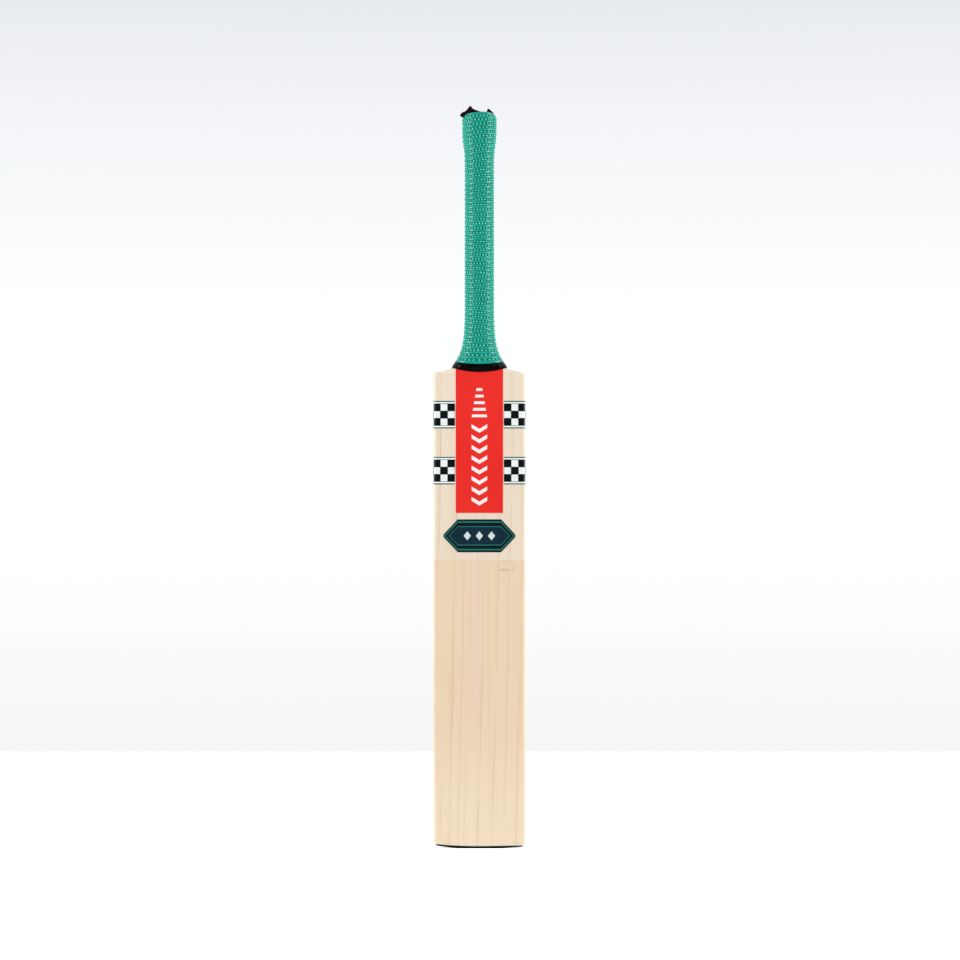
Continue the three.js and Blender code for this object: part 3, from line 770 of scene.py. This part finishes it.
def cloth_tape():
    look = Look("cloth_tape", Roughness=0.9, Specular_IOR_Level=0.05)
    warp = look.node("ShaderNodeTexWave", {"bands_direction": "X"}, Vector=look.place(), Scale=380)
    weft = look.node("ShaderNodeTexWave", {"bands_direction": "Y"}, Vector=look.place(), Scale=380)
    weave = look.times(warp.outputs["Fac"], weft.outputs["Fac"])
    lit_patches = look.noise((160, 160, 160))
    _, _, z = look.axes(look.place())
    raised = look.ramp(z, (GRIP_TOP + CLOTH_LIT_LOW) * MM, (GRIP_TOP + CLOTH_LIT_HIGH) * MM)
    # Painted light and shadow: the raised, lit part of the strip is painted in the cloth's own maroon, in
    # patches, and the rest near black as shadow.
    lit_share = look.times(look.ramp(lit_patches, 0.4, 0.6), raised)
    look.tones(lit_share, (5, 2, 3), (56, 5, 15))
    look.tint(look.times(weave, 0.2), 48, 12, 18)
    look.bump(weave, 0.12, 0.8)
    return look


# --- Blade ---


# Steps round the front corner, along the side and round the back corner.
SIDE_STEPS = [(1, 2, 8), (2, 3, 12), (3, 4, 8)]


def blade_positions():
    """Positions round the whole outline, closer together where it turns."""
    half = stretches((0, 1, 19), *SIDE_STEPS, (4, 5, 33))
    return np.concatenate([half, 10 - half[1:-1][::-1]])


def blade_block():
    s = blade_positions()
    rings = []
    for a in np.linspace(0, math.pi / 2, 7):
        rings.append(surface(s, TOE_GAP + TOE_EDGE * (1 - np.cos(a)), TOE_EDGE * (np.sin(a) - 1)))
    start = TOE_GAP + TOE_EDGE
    heights = stretches((start, 50, 21), (50, 540, 119), (540, 549, 15), (549, 556, 49), (556, 572, 21))
    return loft("blade_willow", np.stack(rings + [surface(s, z) for z in heights[1:]]))


def splice_cutter():
    """The V of the handle's tongue, right through the bat's depth."""
    side = SPLICE_TOP_HALF + GLUE
    lean = (SPLICE_TOP_HALF - SPLICE_TIP_HALF) / (SPLICE_TOP - SPLICE_TIP)
    right = [
        (SPLICE_TIP_HALF + GLUE, SPLICE_TIP - GLUE),
        (side, SPLICE_TOP),
        (side + lean * 24, SPLICE_TOP + 24),
        (side + lean * 24, HANDLE_TOP),
    ]
    outline_xz = right + [(-x, z) for x, z in reversed(right)]
    rings = np.array([[(x, y, z) for x, z in outline_xz] for y in (60.0, -60.0)])
    return loft("splice_cutter", rings)


def cut(piece, cutter):
    """Cuts cutter out of piece for good, and removes cutter."""
    modifier = piece.modifiers.new("cut", "BOOLEAN")
    modifier.operation = "DIFFERENCE"
    modifier.object = cutter
    modifier.solver = "EXACT"
    graph = bpy.context.evaluated_depsgraph_get()
    made = bpy.data.meshes.new_from_object(piece.evaluated_get(graph))
    piece.modifiers.clear()
    piece.data = made
    bpy.data.objects.remove(cutter)


def make_blade():
    piece = blade_block()
    cut(piece, splice_cutter())
    shade(piece, 35)
    return piece


# --- Grip ---

UNDER_GRIP = 2 * GLUE + TWINE
MIDDLE = 2  # places round the grip are measured this far out from the cane
PIPS_ROUND = 30
RELIEF = 1.25  # height of the grip's ribs above the grooves between them
LIP = 4.5  # how far in the grip's top edge is rounded
CROWN_START = 845.2  # where that rounding starts
RIM_DIP_LEFT = 1.6  # the grip's top edge is pulled down this much at the left
RIM_DIP_RIGHT = 1.2  # and at the right
DIP_START_LEFT = 4  # how far from the middle the left dip starts
DIP_START_RIGHT = 8  # and the right one
DIP_FULL = 20  # and where both are at their deepest
DIP_LEAD = 8  # the rows start to follow the top edge's dip this far below the rounding
DIP_FADE = 12  # and follow it fully this much higher
FOOT_FADE = 34  # above the foot, the rows follow its dip over this height
TILT_STOP = 3  # the rows are level this far below the top edge
TILT_FADE = 16  # and reach their full tilt this much lower
EDGE_BAND = 1.6  # height of the plain rolled edge at the grip's foot
LAST_ROW = 1.4  # the top rib is at least this far below the top edge
LINING_LIFT = 3  # the lining's lowest ring is this far above the foot
RIB_COLUMNS = 4  # columns of points for each pip, round a rib
AROUND = np.arange(PIPS_ROUND * RIB_COLUMNS) / RIB_COLUMNS - 0.5  # a ring's points, counted in pips
ROW_SHIFT = 0.4  # each row's pips are this share of their spacing further round than the row below
ROW_SWAY = 0.12  # and up to this share out of place

PIP_SIDES = 12
PIP_RADIUS = 0.98
PIP_RELIEF = 0.78  # height of the pips, as a share of RELIEF
PIP_TURN = math.pi * 7 / 6  # direction of a pip's first corner
# A pip's foot and shoulder: share of PIP_RADIUS, share of RELIEF, and how much of the painted highlight it
# has.
PIP_STEPS = [(1.0, 0.0, 0.0), (0.76, 0.8 * PIP_RELIEF, 0.9)]

# Phases run from 0 on a rib's crest to 1 on the next, with the pips at 0.5. Each pair is a phase and
# the share of RELIEF that the surface has there.
RIB_LOWER = [(0.75, 0.64), (0.87, 0.93)]
RIB_UPPER = [(0.0, 1.0), (0.13, 0.93), (0.25, 0.64)]
GROOVE = (0.305, 0.695)

# The rolled foot from the inside outwards: height above the grip's edge, distance out from the cane,
# and relief for the colour.
FOOT = [
    (0.0, 0.8 * UNDER_GRIP, 0.3), (-0.05, 2.0, 0.3), (0.15, 2.6, 1.0), (0.5, 2.75, 1.0),
    (0.95, 2.6, 1.0),
]
# The hole in the grip's top from its edge down: how much wider than GRIP_HOLE it is, and height.
HOLE = [(1.2, GRIP_TOP), (0.35, GRIP_TOP - 0.25), (0.0, GRIP_TOP - 0.9), (0.0, HANDLE_TOP + GLUE)]
LINING = [HANDLE_TOP + GLUE, 842, 824, 815, 806, 790, 700, 620, 604, 592, 583, 576, 570]

row_pitch = profile(
    (560, 5.25), (591, 5.25), (633, 5.2), (674, 5.05), (714, 5.25), (755, 5.65), (792, 5.8),
    (826, 4.85), (852, 4.75)
)
# Slope of the rows across the face side of the handle.
row_tilt = profile(
    (560, -0.05), (600, -0.11), (660, -0.05), (715, 0.0), (760, 0.09), (796, 0.16), (826, 0.1),
    (850, 0.05)
)


def dipped(x, level):
    """Edges round the neck are lower towards the middle of the face and of the back."""
    dip = mix(NECK_DIP_LOW, NECK_DIP_HIGH, (level - NECK_LOW) / (NECK_HIGH - NECK_LOW))
    return level - dip * (1 - np.minimum(1, (x / half_width(level)) ** 2))


def round_handle(turns, z):
    """Positions round the grip at height z, in equal steps for equal steps of turns."""
    s = np.linspace(0, 10, 401)
    run = run_along(surface(s, z, MIDDLE))
    return np.interp(np.mod(turns, 1) * run[-1], run, s)


def pip_spacing(z):
    return step_lengths(surface(np.linspace(0, 10, 201), z, MIDDLE)).sum() / PIPS_ROUND


def row_shift(k):
    """How far round row k's pips are turned, counted in pips."""
    return ROW_SHIFT * k + ROW_SWAY * math.sin(2.3 * k)


def row_height(x, z):
    """The height of a row that would be level at z, with the tilt of the rows and the dips of the
    grip's two edges."""
    settle = smooth((z - NECK_HIGH) / FOOT_FADE)
    tilt = row_tilt(z) * settle * smooth((GRIP_TOP - TILT_STOP - z) / TILT_FADE)
    level = z + tilt * x - rim_dip(x) * smooth((z - CROWN_START + DIP_LEAD) / DIP_FADE)
    return mix(dipped(x, NECK_HIGH) + (z - NECK_HIGH), level, settle)


def rim_dip(x):
    """How far the grip's top edge, pulled down by hand, lies below its middle."""
    left = smooth((-x - DIP_START_LEFT) / (DIP_FULL - DIP_START_LEFT))
    right = smooth((x - DIP_START_RIGHT) / (DIP_FULL - DIP_START_RIGHT))
    return RIM_DIP_LEFT * left + RIM_DIP_RIGHT * right


def crown_share(z):
    """How far up the rounding of the grip's top edge z is, from 0 to 1."""
    return min(1.0, max(0.0, (z - CROWN_START) / (GRIP_TOP - CROWN_START)))


class Sleeve:
    """The grip's closed mesh as it grows, ring by ring."""

    def __init__(self):
        self.points, self.relief, self.pip, self.faces = [], [], [], []
        self.count = 0

    def add(self, points, relief, pip=0.0):
        self.points.append(points)
        self.relief.append(np.full(len(points), relief))
        self.pip.append(np.full(len(points), pip))
        first = self.count
        self.count += len(points)
        return first + np.arange(len(points))

    def rib_point(self, pips, z, relief, pip=0.0):
        """Points at places round the handle, counted in pips, on a row that is level at z."""
        s = round_handle(pips / PIPS_ROUND, z)
        x, _ = outline(s, z)
        grow = UNDER_GRIP + GRIP - RELIEF * (1 - relief)
        grow -= LIP * (1 - math.sqrt(1 - crown_share(z) ** 2))
        return self.add(surface(s, row_height(x, z), grow), relief, pip)

    def ring(self, shift, z, relief):
        return self.rib_point(AROUND + shift, z, relief)

    def foot_ring(self, lift, grow, relief):
        """A ring that follows the grip's lower edge."""
        s = round_handle(AROUND / PIPS_ROUND, NECK_HIGH)
        x, _ = outline(s, NECK_HIGH)
        return self.add(surface(s, dipped(x, NECK_HIGH) + lift, grow), relief)

    def join(self, low, high):
        """Faces between two rings of as many points."""
        after = np.roll(np.arange(len(low)), -1)
        self.faces += np.stack([low, low[after], high[after], high], axis=-1).tolist()

    def pips(self, low, high, shift, z):
        """A row of pips in the groove between two rings."""
        count = np.arange(PIPS_ROUND)
        across = PIP_RADIUS / pip_spacing(z)
        middles = self.rib_point(count - 0.5 + shift, z, 0.0)
        rings = []
        for radius, relief, pip in PIP_STEPS:
            ring = []
            for i in range(PIP_SIDES):
                turn = 2 * math.pi * i / PIP_SIDES + PIP_TURN
                at = count + shift + radius * across * math.cos(turn)
                ring.append(self.rib_point(at, z + radius * PIP_RADIUS * math.sin(turn), relief, pip))
            rings.append(np.array(ring))
        tops = self.rib_point(count + shift, z, PIP_RELIEF, 1.0)
        after = np.roll(count, -1)
        first, last = RIB_COLUMNS * count, RIB_COLUMNS * after
        rim = [low[first + i] for i in range(RIB_COLUMNS)] + [low[last], middles[after], high[last]]
        rim += [high[first + i] for i in range(RIB_COLUMNS - 1, -1, -1)] + [middles]
        turned = np.roll(np.arange(PIP_SIDES), -1)
        for outer, inner in ((np.array(rim), rings[0]), rings):
            quads = np.stack([outer, outer[turned], inner[turned], inner], axis=-1)
            self.faces += quads.reshape(-1, 4).tolist()
        inner = rings[1]
        cap = np.stack([inner, inner[turned], np.broadcast_to(tops, inner.shape)], axis=-1)
        self.faces += cap.reshape(-1, 3).tolist()

    def build(self, name):
        piece = make_object(name, np.concatenate(self.points), self.faces, sharp_deg=70)
        for key, values in (("relief", self.relief), ("pip", self.pip)):
            layer = piece.data.attributes.new(key, "FLOAT", "POINT")
            layer.data.foreach_set("value", np.concatenate(values).astype(np.float32))
        return piece


def crests():
    """Heights of the ribs, from the grip's lower edge to its top."""
    rows = [NECK_HIGH + EDGE_BAND]
    while rows[-1] + row_pitch(rows[-1]) < GRIP_TOP - LAST_ROW:
        rows.append(rows[-1] + float(row_pitch(rows[-1])))
    return rows


def sleeve_top(sleeve, shift, start):
    """The rest of the rounded top edge from height start, and the hole in the middle."""
    s = round_handle((AROUND + shift) / PIPS_ROUND, HANDLE_TOP)
    rings = []
    for a in np.linspace(math.asin(crown_share(start)), math.pi / 2, 8)[1:]:
        ring = surface(s, HANDLE_TOP, UNDER_GRIP + GRIP - LIP * (1 - math.cos(a)))
        ring[:, 2] = mix(CROWN_START, GRIP_TOP, math.sin(a)) - rim_dip(ring[:, 0])
        rings.append(sleeve.add(ring, 0.9))
    axis = place(0, HANDLE_CENTRE, HANDLE_TOP)
    turn = np.arctan2(ring[:, 1] - axis[1], ring[:, 0] - axis[0])
    way = np.stack([np.cos(turn), np.sin(turn)], axis=1)
    for wider, z in HOLE:
        ring = np.column_stack([axis[:2] + way * (GRIP_HOLE + wider), np.full(len(s), float(z))])
        if z > GRIP_TOP - 1:
            ring[:, 2] -= rim_dip(ring[:, 0])
        rings.append(sleeve.add(ring, 0.6))
    return rings


def sleeve_lining(sleeve, shift):
    """The inside wall, from the top down."""
    rings = []
    for i, z in enumerate(LINING):
        turns = (AROUND + mix(shift, 0.0, i / len(LINING))) / PIPS_ROUND
        rings.append(sleeve.add(surface(round_handle(turns, z), z, UNDER_GRIP), 0.0))
    return rings + [sleeve.foot_ring(LINING_LIFT, 0.9 * UNDER_GRIP, 0.0)]


def make_grip():
    """One closed mesh, with round pips standing in the grooves between its ribs."""
    sleeve = Sleeve()
    rows = crests()
    rings = [sleeve.foot_ring(*part) for part in FOOT]
    shift = 0.0
    grooves = {}
    for k, (low, high) in enumerate(zip(rows, rows[1:])):
        pitch = high - low
        past, shift, ahead = shift, row_shift(k), row_shift(k + 1)
        for phase, relief in RIB_UPPER:
            rings.append(sleeve.ring(mix(past, shift, 0.5 + phase), low + phase * pitch, relief))
        rings += [sleeve.ring(shift, low + phase * pitch, 0.0) for phase in GROOVE]
        grooves[len(rings) - 1] = (shift, low + pitch / 2)
        for phase, relief in RIB_LOWER:
            rings.append(sleeve.ring(mix(shift, ahead, phase - 0.5), low + phase * pitch, relief))
    rings.append(sleeve.ring(shift, rows[-1], 1.0))
    rings += sleeve_top(sleeve, shift, rows[-1])
    rings += sleeve_lining(sleeve, shift)
    for i, (low, high) in enumerate(zip(rings, rings[1:]), start=1):
        if i in grooves:
            sleeve.pips(low, high, *grooves[i])
        else:
            sleeve.join(low, high)
    sleeve.join(rings[-1], rings[0])
    return sleeve.build("grip_sleeve")


# --- Binding and tape ---

TWINE_LOW = 570
TWINE_HIGH = 846
TWINE_PITCH = 1.2  # from turn to turn
TWINE_RINGS = 4  # rings of points for each turn

TAPE_TURNS = 2.12
TAPE_START = 3.6  # position round the neck where the tape starts
TAPE_SHARE = 0.73  # width of the tape, as a share of the height that it covers
TAPE_THICK = 0.32
TAPE_LAP = 0.36  # how much further out the tape lies where it laps the turn below
TAPE_INSET = 0.95  # the tape's underside is this far inside the grip's surface at its upper edge
TAPE_RISE = 0.35  # and this far outside the willow at its lower edge
WRINKLE = 0.06  # height of the wrinkles
SETTLING = 14  # steps in which the tape's edges settle on the shape of the neck


def make_twine():
    """Thread wound round the handle in a tight helix."""
    around = np.linspace(0, 1, 40, endpoint=False)
    outer = []
    for z in np.linspace(TWINE_LOW, TWINE_HIGH, int((TWINE_HIGH - TWINE_LOW) / TWINE_PITCH * TWINE_RINGS)):
        wave = np.abs(np.sin(math.pi * ((z - TWINE_LOW) / TWINE_PITCH + around)))
        outer.append(surface(round_handle(around, z), z, GLUE + TWINE * (0.55 + 0.45 * wave)))
    inner = [surface(round_handle(around, z), z, GLUE) for z in np.linspace(TWINE_HIGH, TWINE_LOW, 24)]
    return loft("twine_winding", np.stack(outer + inner), hoop=True, sharp_deg=80)


def make_neck_tape():
    """Glossy tape wound a little over twice round the neck, each turn lapping the last. Along the tape
    a counts turns, across it t runs from 0 to 1, and v is the share of the height that it covers."""
    along = np.linspace(0, TAPE_TURNS, int(TAPE_TURNS * 150))
    t, a = np.meshgrid(np.linspace(0, 1, 12), along, indexing="ij")
    s = mix(TAPE_START, TAPE_START + 10, a)
    v = (1 - TAPE_SHARE) * smooth((a - 0.75) / 0.5) + t * TAPE_SHARE
    edge = mix(NECK_LOW, NECK_HIGH, v)
    for _ in range(SETTLING):
        x, _ = outline(s, edge)
        edge = mix(edge, mix(dipped(x, NECK_LOW), dipped(x, NECK_HIGH) - GLUE, v), 0.35)
    wrinkle = WRINKLE * np.sin(a * 61 + 3 * v) * np.sin(a * 23.7) * (0.4 + 0.6 * v)
    body = mix(TAPE_RISE, UNDER_GRIP + GRIP - TAPE_INSET, smooth(v))
    lap = TAPE_LAP * np.floor(np.minimum(a, 1.999)) * smooth((0.78 - v) / 0.06)
    lift = body + lap + wrinkle + TAPE_LAP * np.maximum(0, a - 1) * smooth((TAPE_SHARE - v) / 0.1)
    outer, inner = surface(s, edge, lift + TAPE_THICK), surface(s, edge, lift)
    return slab("neck_tape_winding", outer, inner, sharp_deg=50)


# --- Toe guard ---

# The guard's side from the ground up: height, and distance out from the willow's side.
GUARD_SIDE = [
    (0.0, -2.4), (0.08, -1.8), (0.35, -1.2), (0.8, -0.85), (1.5, -0.7), (2.1, -0.75),
    (TOE_GAP - GLUE, -0.95),
]


def guard_lift(x):
    """Lift of the toe guard's underside beyond the flat that it stands on."""
    rise = smooth((np.abs(x) - REST_HALF_WIDTH) / (HALF_WIDTH - REST_HALF_WIDTH))
    return GUARD_CORNER_LIFT * rise * (1 - GUARD_LEAN * x / HALF_WIDTH)


def make_toe_guard():
    s = blade_positions()
    rings = []
    for z, grow in GUARD_SIDE:
        ring = surface(s, TOE_GAP, grow)
        ring[:, 0] *= GUARD_LENGTH / (2 * HALF_WIDTH)
        share = z / (TOE_GAP - GLUE)
        ring[:, 2] = z + mix(guard_lift(ring[:, 0]), toe_lift(ring[:, 0], TOE_GAP), share)
        rings.append(ring)
    return loft("toe_guard_rubber", np.stack(rings), sharp_deg=50)


# --- Stickers and facing ---


def sticker(name, positions, low, high, rows, top=STICKER_HIGH):
    """A thin film stuck to the blade. low and high are its edges' heights."""
    low, high = (np.broadcast_to(edge, positions.shape) for edge in (low, high))
    share = np.linspace(0, 1, rows)[:, None]
    z = mix(low[None, :], high[None, :], share)
    s = np.broadcast_to(positions[None, :], z.shape)
    wrap = np.stack([np.broadcast_to(arc(positions)[None, :], z.shape) * MM, z * MM], axis=-1)
    return slab(name, surface(s, z, top), surface(s, z, STICKER_LOW), wrap, sharp_deg=30)


def position_of(x, z):
    """Positions on the face side where the outline at heights z is x from the middle."""
    s = np.linspace(0, 2, 201)
    pairs = zip(np.abs(x).ravel(), z.ravel())
    found = [np.interp(across, outline(s, level)[0], s) for across, level in pairs]
    return np.sign(x) * np.array(found).reshape(x.shape)


def make_face_label():
    """The label's sides run straight up under the tape, where the blade narrows."""
    x = np.linspace(-LABEL_HALF_WIDTH, LABEL_HALF_WIDTH, 29)[None, :]
    top = dipped(x, NECK_LOW) + LABEL_LAP
    share = stretches((0, 0.94, 39), (0.94, 1, 15))[:, None]
    z = mix(LABEL_BOTTOM, top, share)
    x = np.broadcast_to(x, z.shape)
    s = position_of(x, z)
    wrap = np.stack([x * MM, z * MM], axis=-1)
    outer, inner = surface(s, z, STICKER_HIGH), surface(s, z, STICKER_LOW)
    return slab("face_label_film", outer, inner, wrap, sharp_deg=30)


def make_back_label():
    reach = 5 - BACK_LABEL_EDGE
    span = np.linspace(reach, 10 - reach, 61)
    return sticker("back_label_film", span, LABEL_BOTTOM, BACK_LABEL_TOP, 50)


def make_band(level, side):
    low, high = BANDS[level]
    start = float(position_at(BAND_START))
    span = stretches((start, 1, 11), *SIDE_STEPS, (4, 5 - BACK_BAND_EDGE, 13))
    if side == "left":
        span = -span[::-1]
    return sticker(f"checked_band_{level}_{side}_film", span, low, high, 14)


def make_badge():
    tip, shoulder = BADGE_HALF_WIDTH, BADGE_SHOULDER
    distance = stretches((-tip, -shoulder, 11), (-shoulder, shoulder, 15), (shoulder, tip, 11))
    past = np.maximum(0, np.abs(distance) - shoulder) / (tip - shoulder)
    half = BADGE_HALF_HEIGHT * (1 - BADGE_TAPER * past)
    return sticker("face_badge_film", position_at(distance), BADGE_CENTRE - half, BADGE_CENTRE + half, 16)


def make_facing():
    half = stretches((0, 1, 19), (1, 2, 8), (2, 2 + FACING_WRAP, 3))
    span = np.concatenate([-half[1:][::-1], half])
    return sticker("clear_facing_film", span, FACING_BOTTOM, FACING_TOP, 90, top=FACING_HIGH)


# --- Cloth tape on the handle's end ---


def catmull(points, samples):
    """A smooth curve through points, sampled evenly between them."""
    points = np.asarray(points, float)
    padded = np.concatenate([2 * points[:1] - points[1:2], points, 2 * points[-1:] - points[-2:-1]])
    t = np.linspace(0, len(points) - 1, samples)
    i = np.minimum(t.astype(int), len(points) - 2)
    f = (t - i)[:, None]
    a, b, c, d = (padded[i + k] for k in range(4))
    square, cube = 2 * a - 5 * b + 4 * c - d, 3 * b - a - 3 * c + d
    return 0.5 * (2 * b + (c - a) * f + square * f**2 + cube * f**3)


# The strip's front and back edges from its left end to its right end: x, y from the handle's axis, and
# height above the cane's end.
CLOTH_FRONT = [
    (-19.3, -9.0, -3.6), (-18.0, -9.9, -1.6), (-15.7, -10.9, 0.7), (-13.2, -12.9, 1.4),
    (-10.6, -14.4, 1.6), (-7.6, -16.0, 2.0), (-4.4, -17.3, 2.4), (-0.6, -15.4, 3.4),
    (1.4, -9.6, 3.0), (2.6, -7.0, 1.2), (4.2, -5.8, 0.7), (6.4, -5.4, 1.4), (8.4, -6.0, 3.1),
    (10.6, -7.0, 3.1), (13.2, -7.5, 2.9), (16.6, -7.0, 1.5),
]
CLOTH_BACK = [
    (-22.4, 0.0, -0.4), (-21.6, -0.4, 2.4), (-18.6, -1.2, 4.4), (-15.5, -2.0, 5.7),
    (-12.7, -3.2, 9.1), (-10.2, -4.6, 11.0), (-9.0, -4.4, 8.6), (-7.4, -4.0, 6.2),
    (-3.6, -3.0, 5.3), (-1.0, -2.0, 4.9), (1.2, 0.8, 2.6), (4.0, 3.2, 0.8), (6.8, 3.8, 2.0),
    (8.8, 3.8, 6.2), (10.5, 3.5, 8.8), (16.4, 2.4, 3.6),
]
CLOTH_THICK = 0.35
CLOTH_SAG = 0.3


def make_end_cloth():
    along = 96
    front, back = catmull(CLOTH_FRONT, along), catmull(CLOTH_BACK, along)
    t = np.linspace(0, 1, 12)[:, None, None]
    points = mix(front[None], back[None], t)
    waves = np.sin(np.linspace(0, 19, along))[None, :]
    points[..., 2] += np.sin(math.pi * t[..., 0]) * (CLOTH_SAG * waves + CLOTH_SAG)
    points += place(0, HANDLE_CENTRE, HANDLE_TOP)
    across_way = np.gradient(points, axis=0)
    along_way = np.gradient(points, axis=1)
    normal = np.cross(along_way, across_way)
    normal /= np.linalg.norm(normal, axis=-1, keepdims=True)
    lift = normal * CLOTH_THICK / 2
    return slab("end_cloth_strip", points + lift, points - lift, sharp_deg=60)


# --- Assembly ---


def wear(piece, look):
    piece.data.materials.clear()
    piece.data.materials.append(look.material)


def fit(piece, look, node):
    """Gives a made piece its look, and lets it stand for its CAD node."""
    wear(piece, look)
    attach(piece, "root")
    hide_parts(node)
    return piece


def build_bat():
    fit(make_blade(), willow(), "blade")
    fit(make_grip(), grip_rubber(), "grip")
    fit(make_twine(), twine(), "twine_binding")
    fit(make_neck_tape(), neck_tape_look(), "neck_tape")
    fit(make_toe_guard(), toe_rubber(), "toe_guard")
    fit(make_face_label(), red_print("face_label_print", 396, 8), "face_label")
    middle = float(arc(5.0))
    back_label = make_back_label()
    fit(back_label, red_print("back_label_print", 400, 8, middle), "back_label")
    checks = checked_print()
    for level in BANDS:
        for side in ("left", "right"):
            fit(make_band(level, side), checks, f"checked_band_{level}_{side}")
    fit(make_badge(), badge_print(), "face_badge")
    fit(make_facing(), clear_film(), "clear_facing")
    cloth = fit(make_end_cloth(), cloth_tape(), "end_cloth")
    cane_look, rubber_look = cane(), strip_rubber()
    for node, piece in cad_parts.items():
        if node.startswith("cane_strip"):
            wear(piece, cane_look)
        if node.startswith("rubber_strip"):
            wear(piece, rubber_look)


# --- Stage, light and camera ---

DISTANCE = 3.0  # from the camera to the hitting face
VIEW_WIDTH = 1.1093  # width of the view at the hitting face
EYE_HEIGHT = 0.4255
EYE_SIDE = 0.0007  # to the right of the bat's middle
FLOOR_END = 0.354 * DISTANCE  # behind the hitting face
FLOOR_REACH = 6  # to the sides and to the front


def make_camera():
    data = bpy.data.cameras.new("camera")
    data.sensor_width = 36
    data.lens = data.sensor_width * DISTANCE / VIEW_WIDTH
    camera = bpy.data.objects.new("camera", data)
    camera.location = (EYE_SIDE, FACE_SETBACK * MM - DISTANCE, EYE_HEIGHT)
    camera.rotation_euler = (math.pi / 2, 0, 0)
    bpy.context.scene.collection.objects.link(camera)
    bpy.context.scene.camera = camera


def floor_look():
    """White to the eye, but throwing less light back up, as a table with a dark room round it does."""
    glow = {"Emission_Color": (1.0, 1.0, 1.0), "Emission_Strength": 0.7}
    look = Look("floor", Roughness=0.6, Base_Color=(0.94, 0.94, 0.94), Specular_IOR_Level=0.2, **glow)
    x, y, _ = look.axes(look.place())
    far = look.calc("SQRT", look.plus(look.calc("POWER", x, 2), look.calc("POWER", y, 2)))
    pool = look.ramp(far, 0.1, 0.8, 0.62, 0.3)
    tone = look.node("ShaderNodeCombineColor", Red=pool, Green=pool, Blue=pool).outputs[0]
    dim = look.node("ShaderNodeBsdfDiffuse", Color=tone)
    seen = look.node("ShaderNodeLightPath").outputs["Is Camera Ray"]
    both = look.node("ShaderNodeMixShader", Fac=seen)
    look.put(both.inputs[1], dim.outputs[0])
    look.put(both.inputs[2], look.shader.outputs[0])
    look.put(look.tree.nodes["Material Output"].inputs["Surface"], both.outputs[0])
    return look


def make_floor():
    far = FACE_SETBACK * MM + FLOOR_END
    side = FLOOR_REACH
    corners = [(-side, -side, 0), (side, -side, 0), (side, far, 0), (-side, far, 0)]
    mesh = bpy.data.meshes.new("floor")
    mesh.from_pydata(corners, [], [(0, 1, 2, 3)])
    floor = bpy.data.objects.new("floor", mesh)
    bpy.context.scene.collection.objects.link(floor)
    mesh.materials.append(floor_look().material)


# The glow changes from the wall's to the front's between two directions, one as far behind the sides
# as the other is before them: the sine of that angle, and the two strengths.
WALL_TURN = 0.35
WALL_GLOW = 0.8
FRONT_GLOW = 0.1
# Tones of the wall behind the bat, from the floor's far edge to the top of the view: each is the share
# of the way between the sines of two elevations, and a colour.
WALL_LOW = -0.105
WALL_HIGH = 0.185
WALL_TONES = [
    (0, (245, 247, 246)), (0.13, (249, 251, 250)), (0.2, (253, 255, 254)), (0.33, (255, 255, 255)),
    (0.6, (254, 255, 255)), (0.72, (249, 251, 250)), (0.79, (245, 247, 250)),
    (0.855, (242, 243, 247)), (1, (231, 234, 238)),
]


def make_world():
    """Pale surroundings: bright behind the bat, dim behind the camera."""
    world = bpy.data.worlds.new("studio")
    bpy.context.scene.world = world
    world.use_nodes = True
    nodes = Nodes(world.node_tree)
    _, y, z = nodes.axes(nodes.node("ShaderNodeTexCoord").outputs["Generated"])
    height = nodes.node("ShaderNodeMapRange", Value=z, From_Min=WALL_LOW, From_Max=WALL_HIGH)
    wall = nodes.node("ShaderNodeValToRGB", Fac=height.outputs[0])
    stops = wall.color_ramp.elements
    for share, tone in WALL_TONES:
        stop = stops[0] if share == 0 else stops[-1] if share == 1 else stops.new(share)
        stop.position = share
        stop.color = (*srgb(*tone), 1)
    turn = {"From_Min": -WALL_TURN, "From_Max": WALL_TURN, "To_Min": FRONT_GLOW, "To_Max": WALL_GLOW}
    glow = nodes.node("ShaderNodeMapRange", Value=y, **turn).outputs[0]
    seen = nodes.node("ShaderNodeLightPath").outputs["Is Camera Ray"]
    background = nodes.tree.nodes["Background"]
    nodes.put(background.inputs["Color"], wall.outputs[0])
    nodes.put(background.inputs["Strength"], nodes.calc("MAXIMUM", seen, glow))


LIGHT_AIM = 0.45  # height on the bat that the lights point at


def softbox(name, azimuth_deg, distance, height, size, power):
    """A softbox that faces the bat. Azimuth 0 is at the camera, and it grows to the right."""
    data = bpy.data.lights.new(name, "AREA")
    data.shape = "RECTANGLE"
    data.size, data.size_y = size
    data.energy = power
    lamp = bpy.data.objects.new(name, data)
    turn = math.radians(azimuth_deg)
    lamp.location = (distance * math.sin(turn), -distance * math.cos(turn), height)
    aim = Vector((0, 0, LIGHT_AIM)) - lamp.location
    lamp.rotation_mode = "QUATERNION"
    lamp.rotation_quaternion = aim.to_track_quat("-Z", "Y")
    lamp.visible_camera = False
    bpy.context.scene.collection.objects.link(lamp)


def make_lights():
    for name, azimuth, power in (("softbox_left", -64, 38), ("softbox_right", 72, 40)):
        softbox(name, azimuth, 1.7, 0.75, (1.0, 1.9), power)
    softbox("top_fill", 0, 1.3, 2.4, (1.6, 0.6), 6)


make_camera()
make_world()
make_floor()
make_lights()
build_bat()

bpy.context.scene.view_settings.view_transform = "Standard"
